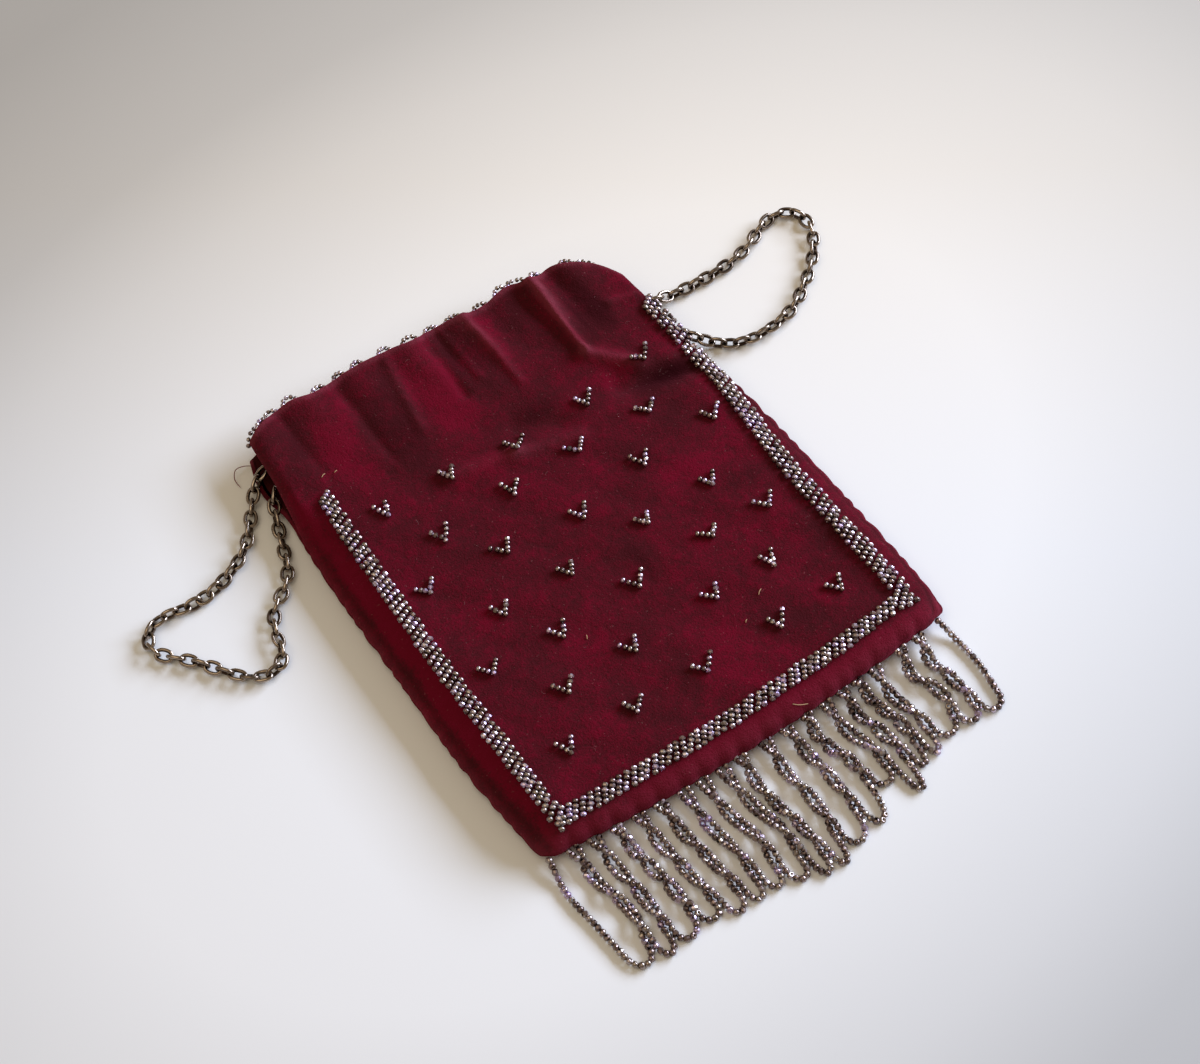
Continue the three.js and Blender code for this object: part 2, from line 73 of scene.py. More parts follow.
# Side seams in plan: height up the pouch, X of the left seam, X of the right seam.
SEAM_ROWS = MM * np.array([
    (-68, -56.5, 58), (-64, -61.2, 62), (-56, -62.9, 63.4), (-30, -64.7, 63.2), (0, -64.3, 62.3),
    (30, -63.9, 60.6), (50, -62.8, 58.2), (66, -60.6, 56.3), (84, -59.2, 54.8),
])

# Mouth edge in plan, over the gathers' lobes to the rounded right corner: X, Y.
MOUTH_ROWS = MM * np.array([
    (-60, 80.5), (-52, 84.2), (-44, 85.4), (-37, 83.8), (-28, 84.9), (-13, 84.2), (-6, 82.6), (1, 83.6),
    (10, 81.9), (19, 82), (27, 83.4), (32, 80.4), (39, 82), (45, 79.2), (51, 74.4), (56, 66),
])
MOUTH_TOP = 84 * MM

# Gathers of the header: X at the mouth, X and Y of the foot, half width, height of the ridge or valley.
GATHER_ROWS = MM * np.array([
    (-54, -54, 54, 4.5, 0.6), (-48.5, -47.5, 56, 2.6, -0.6), (-39, -38, 52, 5, 0.8),
    (-30, -30, 50, 2.8, -0.8), (-21, -22, 54, 5, 0.5), (-14, -15, 56, 2.6, -0.2), (-7, -6, 52, 4.5, 0.9),
    (1, 1, 55, 2.8, -1.4), (9, 14, 50, 3, 1.4), (17, 20, 54, 4, -0.7), (27, 28, 54, 3.4, -0.8),
    (32.5, 33, 50, 2.4, 2.4), (37.5, 39, 54, 3, -1.4), (46, 47, 56, 5, 0.8),
])
GATHER_FULL_SHARE = 0.1
INNER_GATHER_SHARE = 0.5
INNER_GATHER_HALF_WIDTH = 4.5 * MM

# Soft folds of the front panel: X and Y of both ends, half width, height.
FOLD_ROWS = MM * np.array([
    (-20, 40, -3, 36, 2.8, 1), (-3, 36, 14, 31, 2.6, 1.1), (2, 44, 12, 38, 3.4, -1),
    (31, 80, 30.8, 52, 1.3, 1.9), (30.8, 52, 40.5, 41, 2.4, 1.7), (33, 38, 52.6, 32, 3.2, -1.7),
    (46, 62, 54, 60, 1.6, 0.8), (-48.5, 82, -47.8, 58, 1.4, -0.3), (-30.8, 82, -30.3, 54, 1.4, -0.5),
    (-15, 82, -19, 58, 1.5, 0.8), (-2.5, 82, -3.5, 60, 1.3, -0.9), (2.6, 82, 3, 62, 0.8, 0.5),
    (10.6, 82, 11.2, 55, 1.2, 0.9), (-48, 22, -40, -8, 5, -0.25), (-20, -20, 18, -34, 7, -0.25),
    (20, 6, 46, -24, 6, 0.2), (20, 33, 30, 33, 3, 0.4),
])

# Slow waves of the lying cloth: height in millimetres, turn per millimetre along X and along Y, start.
WAVE_ROWS = ((0.16, 0.21, 0.11, 0.0), (0.12, 0.13, -0.29, 1.0), (0.07, 0.47, 0.38, 2.0))

# Ends of the slits beside the header, the heights of their two lips, and the back panel's flare past the
# left one.
SLIT_FOOT = {"left": 60 * MM, "right": 38 * MM}
SLIT_BLEND = 7 * MM
FRONT_EDGE = {"seam": 3.6 * MM, "slit": 8.2 * MM}
BACK_EDGE = {"seam": 3.0 * MM, "slit": 1.7 * MM}
INNER_INSET = 1.3 * MM
LIP_BULGE = 0.42 * MM
FLARE_Y = 74 * MM
FLARE_REACH = 11 * MM
FLARE = 3.2 * MM

# Mesh of the panels: columns and rows, how far these crowd towards the edges, the turns round their lips,
# the cosine of a turn below which a point is on the inner face, and how close points have to be to merge.
FRONT_GRID = (170, 210)
BACK_GRID = (60, 120)
CROWDED_ACROSS = 0.6
CROWDED_UP = 0.35
LIP_STEPS = np.radians([22.5, 45, 67.5])
RIM_STEPS = np.radians([90, 67.5, 45, 22.5])
INSIDE_TURN = -0.5
MERGE_DISTANCE = 1e-6

# Stitching of the side seams, which draws the edge into scallops.
SCALLOP_PITCH = 5.6 * MM
SCALLOP_DEPTH = 0.7 * MM
SCALLOP_REACH = 4.0 * MM
SCALLOP_SHIFT = 1.6 * MM
SCALLOP_PULL = 0.7
SCALLOP_PULL_SWING = 0.3
SCALLOP_WAVES = MM * np.array([3.9, 7.1])
HEM_PULL = 0.6 * MM
HEM_PULL_HALF_WIDTH = 1.4 * MM
SEAM_LINE_INSET = 2.3 * MM
SEAM_LINE_DEPTH = 0.55 * MM
SEAM_LINE_HALF_WIDTH = 0.7 * MM
# Painted shade along the seams' grooves: its strength and its half width.
SEAM_SHADE = 0.5
SEAM_SHADE_HALF_WIDTH = 1.0 * MM

# Nap of the velvet, brushed lighter or darker in patches, with painted shade in creases and fold hollows and
# painted highlights on ridges and the hem: X, Y, half width and half height in millimetres, lean of X with Y,
# tone. The header's patches have crisp sides.
NAP_AND_SHADE_ROWS = np.array([
    (-54, 71, 8, 14, 0, -0.26), (-48.5, 75, 2.6, 11, 0, -0.10), (-39.4, 68, 6.2, 16, 0.1, 0.42),
    (-38.5, 52, 5, 9, 0, 0.22), (-32.6, 76, 1.4, 8, 0, 0.12), (-24.5, 68, 7.6, 18, 0.1, -0.34),
    (-25, 54, 6, 9, 0.05, -0.16), (-9.5, 70, 6.6, 14, 0.08, 0.48), (-8, 56, 6.5, 8, 0.05, 0.24),
    (0, 72, 1.9, 14, 0.06, -0.42), (6, 68, 3.4, 18, 0.02, -0.32), (10.7, 70, 0.9, 12, 0, 0.30),
    (13, 70, 2.4, 12, 0.1, 0.22), (22, 68, 6, 16, 0, -0.26), (31, 66, 0.9, 16, 0, 0.85),
    (34.6, 66, 2.4, 16, 0, -0.36), (40.5, 66, 4.6, 16, 0, -0.42), (49.5, 62, 3.2, 3.5, 0, 0.28),
    (44, 60, 5, 8, 0, -0.15), (10, 44, 10, 5, 0, -0.42), (34, 43, 5.5, 5, 0, 0.34),
    (46, 34, 12, 4.4, -1, -0.84), (24, 33, 5.5, 3, 0, 0.22), (-25, 44, 7, 7, 0, -0.18),
    (-12, 37.5, 9, 2.5, 0, 0.28), (2, 36.5, 8, 2.2, -1.5, 0.14), (36.5, 22.5, 3.6, 5, 0, -0.32),
    (2.5, 21, 5, 5, 0, -0.22), (-38, 22, 5, 5, 0, -0.15), (20, 20, 9, 5, 0, -0.10), (22, 7, 6, 5, 0, 0.24),
    (38, 4, 7, 4, 0, 0.28), (-46, 4, 6, 4.5, 0, 0.20), (43.7, -4.5, 6, 5, 0, -0.32),
    (5, -10, 4.2, 13, 0, -0.38), (32, -19, 5, 4, 0, 0.28), (-33, -23, 4.2, 5, 0, -0.26),
    (-36, -30, 16, 9, 0, 0.18), (48.5, -36, 3.2, 18, 0, -0.30), (-5.5, -44, 3.6, 8, 0, -0.26),
    (29, -49, 6, 6, 0, -0.30), (9, -49, 8, 6, 0, 0.20), (0, -64.8, 99, 3.4, 0, 0.98),
    (-58.6, 20, 3.6, 40, 0, 0.75), (-58.4, -34, 3.4, 34, 0, 0.70), (61, -20, 2.4, 40, 0, 0.25),
])
HEADER_NAP_Y = 48
CRISP_POWER = 6

# Rubbed pile, which also paints a highlight on the hem and on crests: how far in from each edge it reaches
# and how strong it is, and the rise of a crest that is rubbed and highlighted in full.
WEAR_AND_HIGHLIGHT = {"side": (1.2 * MM, 0.35), "rim": (1.1 * MM, 0.7), "hem": (4.5 * MM, 0.38)}
CREST_WEAR_AND_HIGHLIGHT = 2.4 * MM

# Spots of the nap: scale per metre, detail and roughness of the noise, then factor and offset of its tone.
NAP_SPOTS = {
    "broad": (70, 4.0, 0.6, 1.7, -0.83), "patchy": (330, 4.0, 0.65, 1.5, -0.73),
    "grain": (1900, 2.0, 0.7, 1.6, -0.80),
}
NAP_OFFSET = 0.44
NAP_STOPS = (0.05, 0.5, 1.0)
NAP_MIDDLE = 0.36
# Nap tones over which painted shade darkens a crease, and its darkest share; noise over which fluff shows,
# and its most.
CREASE_TONES = (-0.25, -0.8)
CREASE_SHADE = 0.38
FLUFF_NOISE = (0.72, 0.80)
FLUFF_SHARE = 0.30

# Border: X of its two sides by height, the slant of its stitches in degrees, and the bow of its bottom side.
BORDER_ROWS = MM * np.array([
    (-58, -54.6, 54.7), (-48, -54.7, 54.2), (-30, -54.8, 53.6), (-12, -54.7, 53.6), (0, -54.6, 54.2),
    (20, -53.8, 55.8), (30, -53.4, 56.1), (40, -53, 55.6), (56, -52.1, 54.7),
])
BORDER_SLANT_ROWS = np.array([
    (-58, 36, 32), (-30, 26, 30), (0, 22, 30), (20, 16, 30), (40, 16, 31), (48, 24, 32), (57, 34, 33),
])
BORDER_TOP = {"left": 54.0 * MM, "right": 56.3 * MM}
BORDER_SIDE_END = {"left": -53.8 * MM, "right": -53.0 * MM}
BORDER_BOTTOM_Y = -60.5 * MM
BORDER_BOW = 2.5 * MM
BORDER_BOW_CENTRE_X = 3 * MM
BORDER_BOW_REACH = 57 * MM
BORDER_BOTTOM_ENDS = MM * np.array([-51.6, 49.6])
BORDER_BOTTOM_SLANT = math.radians(55)
BORDER_STRETCH = {"left": 0.95, "right": 1.2}
BORDER_JITTER = 0.07 * MM
STITCH_ALONG = 0.1 * MM
STITCH_ACROSS = 0.12 * MM
STITCH_TURN = 0.06
# Stitches that fill the border's two corners: X and Y of the middle, slant in degrees, beads.
CORNER_ROWS = (
    (-54.5, -55.6, 38, 4), (-53.7, -57.5, 41, 4), (-54.0, -59.3, 42, 3),
    (53.4, -56.2, 37, 7), (53.9, -58.3, 40, 6), (54.9, -59.6, 44, 3), (56.5, -60.4, 44, 1),
)

# Half section of a bead, out from its axis and along it, round the outside and back through its hole.
BEAD_SECTION = np.array([(0.42, -0.98), (0.88, -0.62), (1.0, 0.0), (0.88, 0.62), (0.42, 0.98), (0.3, 0.0)])
BEAD_SIDES = 8

# How beads vary in girth, length, lean and tone, the share worn smooth, the mean tones, how high sewn ones
# lie in diameters, and the Z of an axis too steep to take its level side from Z.
BEAD_GIRTHS = (0.92, 1.05)
BEAD_LENGTHS = (0.92, 1.02)
BEAD_LEAN = 0.08
BEAD_TONE_SPREAD = 0.26
BEAD_WORN_SHARE = 0.6
SEWN_TONE = 0.52
STRUNG_TONE = 0.36
SEWN_LIFT = 0.42
STEEP_AXIS = 0.9

# Sprigs on the front panel: X, Y of the bead at the foot of each V, then the way to the tips of its two arms.
SPRIG_ROWS = MM * np.array([
    (-41.4, 39.5, -2, 4.1, 1.4, 3.8), (-21.4, 39.1, -1.7, 3.8, 1.7, 3.2),
    (-2.4, 36.2, -1.8, 4.3, 3.8, 3.8), (21.3, 37.7, -1.8, 3.5, 3.3, 3.7), (42.3, 40.5, -3, 2.1, 3.2, 4.3),
    (-33.1, 24.2, -2.2, 4, 2.5, 4.3), (-10.7, 25.7, -1.4, 4.3, 2.9, 3.2), (11.4, 27, -3.3, 2.8, 2.2, 2.4),
    (33.9, 26.3, -2.8, 2.8, 2.6, 2.8), (-45.1, 13.8, -2.7, 2.7, 2.5, 3.1),
    (-22.1, 11.8, -3.2, 3.4, 2.1, 3.4), (0.3, 9, -2.4, 3.6, 2.5, 3.7), (22.9, 13.2, -2.1, 4.1, 2.5, 3.3),
    (46.8, 14.4, -2.2, 3.6, 3.2, 3.3), (-32.9, -3.2, -2.1, 3.8, 2.2, 3.3),
    (-12.2, -3.5, -2.2, 3.7, 1.8, 3.4), (12.8, -2.2, -2.4, 2.6, 1.6, 2.8), (33.9, -2.3, -2, 3, 1.9, 3),
    (-45.1, -15.7, -2.5, 3.4, 2.6, 2.8), (-24.3, -17.3, -2.5, 3.6, 2.3, 4),
    (-0.1, -16.4, -2.4, 3.9, 3.2, 3.9), (24.4, -15.4, -3.1, 2.9, 2.1, 2.6),
    (41.8, -16.6, -2.5, 3.4, 2.9, 3.5), (-32.5, -31.1, -2.5, 3.5, 2.8, 3.3),
    (-11.8, -31.4, -2.6, 3.6, 2, 3.8), (14.4, -30.7, -2.9, 3.1, 1.8, 3.6),
    (32.2, -31.6, -1.7, 4, 1.8, 4.1), (-41.7, -45.6, -1.8, 4.2, 2.3, 3.9),
    (-21.5, -45.7, -1.7, 3.9, 3.2, 3.2), (-0.2, -46.7, -2.6, 3.1, 3.1, 4),
    (22.7, -47.3, -1.7, 3.6, 2.9, 4), (41.8, -47.6, -2.6, 3.3, 1.9, 3.8),
])
SPRIG_ARM_BEADS = 3
SPRIG_JITTER = 0.08 * MM

# Picots along the mouth: X of each arch.
PICOT_XS = MM * np.array([
    -57.2, -53.4, -49.6, -43.5, -35, -28, -22, -13.5, -6, 1, 7.5, 16.5, 24, 28.6, 34.5, 44.3, 48.5,
])
PICOT_BEADS = 5
PICOT_HALF_SPAN = 2.0 * MM
PICOT_RISE = 1.7 * MM
PICOT_DROP = 1.3 * MM
PICOT_SPANS = (0.85, 1.15)
PICOT_RISES = (0.7, 1.2)

# Fringe legs: X at the head, a third down, two thirds down and at the end, Y of the end, Y of the next loop.
LEG_ROWS = MM * np.array([
    (-60.8, -62, -61, -60, -93, -98.6), (-54.4, -54.1, -52, -53, -95.5, -99.8),
    (-48.6, -48, -47.2, -47.2, -96, -99.2), (-42.4, -41.7, -40.2, -39.6, -95.5, -98.6),
    (-35.8, -35.4, -34.3, -33, -96.5, -100.8), (-29.7, -29.1, -27.8, -26.6, -97, -101),
    (-22.7, -22.8, -21.4, -21.1, -97, -101), (-17.2, -17, -14.8, -15.3, -98, -102.8),
    (-11.3, -10.8, -8.6, -8.8, -99.5, -105.2), (-5.5, -6, -4.3, -3.4, -101, -105.4),
    (2.2, 1.9, 2.7, 2, -99, -103), (8.6, 9.4, 10.2, 10.2, -96.5, -101.6),
    (15.2, 14.4, 16.8, 17.6, -91.5, -94.4), (21.3, 21.2, 23.4, 24.3, -92, -100.7),
    (26.9, 26.7, 28.7, 29.6, -92.5, -95.8), (31.6, 32, 33.8, 34.2, -90.5, -95),
    (37.7, 36.9, 38.4, 39.2, -90, -92.9), (46.9, 44.9, 47.8, 46.6, -90, -93.4),
    (52.7, 51.4, 52.8, 53.2, -90.5, -94), (59.6, 61, 61.2, 60, -90, -94),
])
LEG_PLACES = 4
LEG_TURNS = np.array([1.0, 1.5, 1.5, 2.0])
LEG_SQUARENESS = 1.7
LEG_SPREADS = (0.8, 1.3)
SPREAD_KNOTS = 7
LEG_HEAD_SHARE = 0.2
LEG_END_SHARE = 0.8
LEG_HEAD_TUCK = 0.7 * MM
LEG_HEAD_SPREAD = 1.3 * MM
LEG_EYE_SPREAD = 0.95 * MM
LEG_END_SPREAD = 0.85 * MM
HEAD_LIFT = 1.8 * MM
HEAD_LIFT_REACH = 8 * MM
LEG_STEPS = 90
LOOP_STEPS = 40

# Chain routes out of the two slits: the heights of the first and of the last places, then X and Y of all
# places in millimetres. Between those heights the chain lies on the table.
ROUTES = {
    "left_links": ((4.7, 4.4, 2.9, 1.9), (1.9, 3.0, 4.4, 4.7), (
        (-57, 75.4), (-60.3, 74.6), (-64.6, 71.6), (-68.8, 66.4), (-72.6, 61.4), (-77, 57.3), (-83, 54),
        (-90, 51.8), (-97, 51.6), (-103.6, 52.8), (-108.8, 51.6), (-111.2, 47.6), (-110.4, 43.8),
        (-106.4, 39.6), (-102.2, 34.2), (-98.4, 28.8), (-93.8, 23.8), (-88.8, 22), (-85.2, 23.6),
        (-83, 28.4), (-81.6, 33.6), (-78.4, 38.2), (-73, 42), (-69.6, 46.4), (-67.6, 51.6), (-65.6, 56.8),
        (-63.6, 62.4), (-60.6, 67.4), (-57, 69.2),
    )),
    "right_links": ((4.7, 4.6, 3.4, 2.0), (1.8, 2.7, 4.1, 4.7, 4.7), (
        (53.4, 60.8), (57, 60.2), (61, 59.7), (65.2, 59.3), (70.2, 58.9), (76.4, 58.6), (83, 58.8),
        (89, 59.6), (95, 61.6), (100.4, 64.2), (105.8, 65.2), (110.4, 63.2), (112.2, 58.6), (110.6, 53.2),
        (107, 48.4), (102.4, 44), (96.6, 39.8), (90.6, 36.2), (84.4, 34.6), (77.8, 34.2), (71.4, 35.2),
        (66.4, 38.2), (62.8, 41.8), (59.8, 44.8), (56.6, 47), (53.6, 48.2),
    )),
}
LYING_HEIGHT = 1.7

# Links: their two rolls and the spread of these, the power that straightens an oval's sides, the gap kept
# above the table, the spread of grime and painted shade from link to link, and the mesh's steps.
LINK_ROLLS = np.radians([12, 102])
LINK_ROLL_SPREAD = math.radians(11)
LINK_POWER = 0.86
LINK_CLEARANCE = 0.04 * MM
GRIME_AND_SHADE_SPREAD = 0.12
RING_STEPS = 28
WIRE_SIDES = 10
ROUTE_STEPS = 40

# Loose threads: the colour, then X, Y and Z in millimetres of each point along them.
THREADS = (
    ("worn", ((-60.6, 79.2, 2.2), (-62.6, 80.2, 2.6), (-65, 80.6, 2.4), (-66.6, 78.6, 1.6),
              (-66.4, 75.8, 0.5))),
    ("tan", ((-60.8, 60.6, 5.2), (-60, 59.4, 6), (-59.2, 58.6, 6.6), (-58.2, 58.8, 7.4))),
    ("tan", ((-60.4, 61.2, 6), (-59.4, 60.8, 7), (-58.4, 60.9, 7.9))),
    ("tan", ((-49.4, 60, 10.8), (-48.6, 60.5, 10.75), (-47.9, 60.7, 10.5))),
    ("tan", ((-45.8, 59.4, 10.55), (-45.3, 59.6, 10.7), (-44.8, 59.7, 10.55))),
    ("tan", ((-19.8, -21, 10.2), (-19.5, -20.4, 10.5), (-19.2, -19.8, 10.3))),
    ("tan", ((23.5, -36.3, 10.8), (24.3, -35.6, 11), (25.2, -35.2, 10.9))),
    ("tan", ((16, -40.8, 10.5), (16.4, -40.4, 10.7), (16.8, -40.2, 10.6))),
    ("tan", ((12.4, -65.4, 8.1), (13.4, -66.1, 7.6), (14.8, -66.7, 7), (16.4, -67.1, 6.4))),
)
THREAD_RADIUS = 0.13 * MM
THREAD_SIDES = 6
THREAD_STEPS = 24
TUBE_POWER = 6

# Lights: width and height, place to the camera's right, away from it and up, colour.
LIGHTS = {
    "window": ((1.7, 0.75), (1.5, 0.98, 0.92), (0.70, 0.80, 1.0)),
    "lamp": ((1.4, 1.4), (-0.5, -0.3, 1.6), (1.0, 0.85, 0.62)),
}
ROOM_COLOUR = (1.0, 0.82, 0.60, 1.0)
SENSOR_WIDTH = 36.0
CAMERA_CLIP = (0.01, 20.0)
FLOOR_REACH = 1.5

# Painted pool of light on the floor: its shade by distance in metres in an oval that lies from the near left
# to the far right, the oval's middle and narrowness, and a tint of painted warm light close to the camera and
# far from it with the distances of both.
FLOOR_LIGHT_POOL = ((0.08, 1.0), (0.14, 0.97), (0.18, 0.87), (0.22, 0.77), (0.27, 0.60), (0.36, 0.47))
FLOOR_MIDDLE = (-0.008, 0.005, 0.0)
FLOOR_NARROW = 1.45
FLOOR_LIGHT_TINTS = ((0.99, 1.0, 1.02), (1.0, 0.94, 0.85))
FLOOR_LIGHT_TINT_ENDS = (0.0, 0.13)

# Lint on the front panel.
LINT_COUNT = 70
LINT_BOX = MM * np.array([(-57, -60), (52, 78)])
LINT_LENGTHS = MM * np.array([0.5, 2.2])
LINT_RADIUS = 0.022 * MM
LINT_STEPS = 8
LINT_SIDES = 4
LINT_LIFT = 0.12 * MM
LINT_CURL = 1.8

# Seeds of the random choices, by what they place or by the piece they vary.
SEEDS = {
    "stitches": 11, "sprigs": 23, "picots": 31, "strings": 47, "lint": 61,
    "border_beads": 5, "sprig_beads": 7, "picot_beads": 9, "fringe_beads": 13,
    "left_links": 17, "right_links": 19,
}


def size_prop(name, description, millimetres):
    """A length setting, given in millimetres."""
    return FloatProperty(name=name, description=description, default=millimetres * MM, unit="LENGTH")


def angle_prop(name, description, degrees):
    """An angle setting, given in degrees."""
    return FloatProperty(name=name, description=description, default=math.radians(degrees), unit="ROTATION")


def colour_prop(name, description, *shade):
    """A colour setting."""
    return FloatVectorProperty(
        name=name, description=description, subtype="COLOR", default=shade, min=0, max=1)


class VelvetLook(bpy.types.PropertyGroup):
    """Sizes and colours of the velvet."""

    wall: size_prop("Wall", "Thickness of the velvet with its backing", 1.3)
    header_wall: size_prop("Header wall", "Thickness of the turned-over header", 2.0)
    # The dark and bright nap colours also give the painted shade of creases and the painted highlights of
    # ridges.
    dark: colour_prop("Dark nap", "Velvet brushed away from the light", 0.055, 0.0080, 0.0112)
    bright: colour_prop("Bright nap", "Velvet brushed towards the light", 0.135, 0.0052, 0.0165)
    # Rubbed pile, also used as a painted highlight on fold crests and on the hem.
    worn: colour_prop("Worn edge", "Rubbed pile along folds and edges", 0.18, 0.034, 0.050)
    inside: colour_prop("Inside", "Back of the velvet inside the pouch", 0.045, 0.008, 0.008)
    thread: colour_prop("Thread", "Sewing thread that has come loose", 0.42, 0.25, 0.13)
    lint: colour_prop("Lint", "Fibres lying on the pile", 0.26, 0.12, 0.12)
    flat_size: FloatVectorProperty(
        name="Flat size", description="Cut of the velvet before it was folded and sewn", size=2,
        default=(0.130, 0.306), unit="LENGTH")


class BeadLook(bpy.types.PropertyGroup):
    """Sizes and colours of the cut-steel beads."""

    sewn_diameter: size_prop("Sewn bead", "Diameter of the beads sewn on the velvet", 1.9)
    sprig_diameter: size_prop("Sprig bead", "Diameter of the sprigs' beads", 1.62)
    picot_diameter: size_prop("Picot bead", "Diameter of the beads along the mouth", 1.3)
    sewn_pitch: size_prop("Sewn pitch", "Bead to bead along a sewn stitch", 1.3)
    stitch_pitch: size_prop("Stitch pitch", "Stitch to stitch along the border", 2.1)
    stitch_beads: IntProperty(
        name="Beads in a stitch", description="Beads across the border", default=4, min=1)
    strung_diameter: size_prop("Strung bead", "Diameter of the fringe beads", 1.96)
    strung_pitch: size_prop("Strung pitch", "Bead to bead along a fringe string", 1.64)
    bronze: colour_prop("Bronze", "Browned steel", 0.31, 0.232, 0.22)
    olive: colour_prop("Olive", "Steel with a yellow tarnish", 0.34, 0.285, 0.245)
    steel: colour_prop("Steel", "Clean steel", 0.58, 0.495, 0.525)
    violet: colour_prop("Violet", "Blued steel", 0.50, 0.38, 0.57)


class ChainLook(bpy.types.PropertyGroup):
    """Sizes and colours of the two chain loops."""

    link_length: size_prop("Link length", "Outside length of a link", 5.5)
    link_width: size_prop("Link width", "Outside width of a link", 4.0)
    wire: size_prop("Wire", "Diameter of the wire", 1.05)
    pitch: size_prop("Pitch", "Link to link along the chain", 3.4)
    metal: colour_prop("Metal", "Rubbed nickel", 0.36, 0.29, 0.235)
    # Dark colour of the grime and of the painted shade on the links' inner sides.
    grime_and_shade: colour_prop("Grime", "Tarnish inside the links", 0.05, 0.031, 0.022)


class StageLook(bpy.types.PropertyGroup):
    """Camera, floor and light."""

    azimuth: angle_prop("Azimuth", "Camera's turn about Z", -33.83)
    elevation: angle_prop("Elevation", "Camera's height above the horizon", 59.01)
    roll: angle_prop("Roll", "Camera's turn about its own axis", -1.5)
    offset: FloatVectorProperty(
        name="Offset", description="The origin's place seen from the camera: right, up, towards it", size=3,
        default=(1.0 * MM, -8.25 * MM, -689.5 * MM), unit="LENGTH")
    lens: FloatProperty(name="Lens", description="Focal length on a sensor 36 mm wide", default=78.0)
    floor: colour_prop("Floor", "Colour of the floor", 0.88, 0.88, 0.88)
    key: FloatProperty(name="Key light", description="Power of the window light in watts", default=74.0)
    fill: FloatProperty(name="Fill light", description="Power of the warm lamp in watts", default=7.6)
    room: FloatProperty(name="Room light", description="Strength of the room's warm light", default=0.28)


class PurseLook(bpy.types.PropertyGroup):
    """All settings of the purse."""

    velvet: PointerProperty(type=VelvetLook)
    beads: PointerProperty(type=BeadLook)
    chain: PointerProperty(type=ChainLook)
    stage: PointerProperty(type=StageLook)


# Curves and the pouch's form.

def lerp(a, b, t):
    """Straight mix: a where t is 0, b where t is 1."""
    return a + (b - a) * t


def ease(x, low, high):
    """Smooth step from 0 at low to 1 at high: three t squared less two t cubed."""
    t = np.clip((x - low) / (high - low), 0, 1)
    return t * t * (3 - 2 * t)


def bell(distance, half_width):
    """Bell curve: 1 at no distance, falling with the square of the distance over the half width."""
    return np.exp(-(distance / half_width) ** 2)


def unit(vectors):
    """Vectors scaled to length 1."""
    return vectors / np.linalg.norm(vectors, axis=-1, keepdims=True)


def circle(count):
    """Angles of equal steps round a circle."""
    return 2 * np.pi * np.arange(count) / count


def through(places, values, at):
    """Hermite curve through table rows, with the slope between its neighbours at each row."""
    chord = np.empty_like(values)
    chord[1:-1] = (values[2:] - values[:-2]) / (places[2:] - places[:-2])
    chord[0] = (values[1] - values[0]) / (places[1] - places[0])
    chord[-1] = (values[-1] - values[-2]) / (places[-1] - places[-2])
    at = np.clip(at, places[0], places[-1])
    i = np.clip(np.searchsorted(places, at) - 1, 0, len(places) - 2)
    span = places[i + 1] - places[i]
    t = (at - places[i]) / span
    bend = t * (1 - t) * span
    level = lerp(values[i], values[i + 1], t * t * (3 - 2 * t))
    return level + bend * ((1 - t) * chord[i] - t * chord[i + 1])


def round_over(distance, roll):
    """Quarter ellipse: 0 at a seam and 1 once the panel has levelled out."""
    t = np.clip(distance / roll, 0, 1)
    return np.sqrt(1 - (1 - t) ** 2)


def seam_x(y, rise):
    """X of both side seams, drawn in over a quarter circle by their rise above the bottom seam."""
    inset = CORNER_RADIUS * (1 - round_over(rise, CORNER_RADIUS))
    left, right = (through(SEAM_ROWS[:, 0], SEAM_ROWS[:, column], y) for column in (1, 2))
    return left + inset, right - inset


def mouth_y(x):
    """Y of the mouth's edge."""
    return through(MOUTH_ROWS[:, 0], MOUTH_ROWS[:, 1], x)


def bottom_y(x):
    """Y of the bottom seam: a parabola that bows down at its middle."""
    return BOTTOM_Y + BOTTOM_BOW * ((x - BOW_CENTRE_X) / BOW_REACH) ** 2


def seam_distance(x, y):
    """How far in from the nearer side seam a place lies."""
    left, right = seam_x(y, y - bottom_y(x))
    return np.minimum(x - left, right - x)


def header_share(y):
    """0 on the front panel, 1 on the header, eased between."""
    return ease(y, HEADER_FOOT - HEADER_BLEND, HEADER_FOOT)


def gather_height(x, y, least_half_width=0.0):
    """Sum of bell-shaped ridges and valleys that run down from the mouth and fade towards their feet."""
    height = np.zeros_like(x)
    for mouth_x, foot_x, foot_y, half_width, rise in GATHER_ROWS:
        top = mouth_y(np.array(mouth_x))
        down = (top - y) / (top - foot_y)
        across = bell(x - lerp(mouth_x, foot_x, down), max(half_width, least_half_width))
        height += rise * (1 - ease(down, GATHER_FULL_SHARE, 1)) * across
    return height


def fold_height(x, y):
    """Sum of soft folds: a bell across each fold's line, fading past the line's two ends."""
    height = np.zeros_like(x)
    for x0, y0, x1, y1, half_width, rise in FOLD_ROWS:
        length = math.hypot(x1 - x0, y1 - y0)
        along_x, along_y = (x1 - x0) / length, (y1 - y0) / length
        along = (x - x0) * along_x + (y - y0) * along_y
        across = (y - y0) * along_x - (x - x0) * along_y
        past = np.maximum(np.maximum(-along, along - length), 0)
        height += rise * np.exp(-(across ** 2 + past ** 2) / half_width ** 2)
    return height


def undulation(x, y):
    """Slow waves of the lying cloth: a sum of sines of different length and direction."""
    a, b = x / MM, y / MM
    return MM * sum(height * np.sin(p * a + q * b + start) for height, p, q, start in WAVE_ROWS)


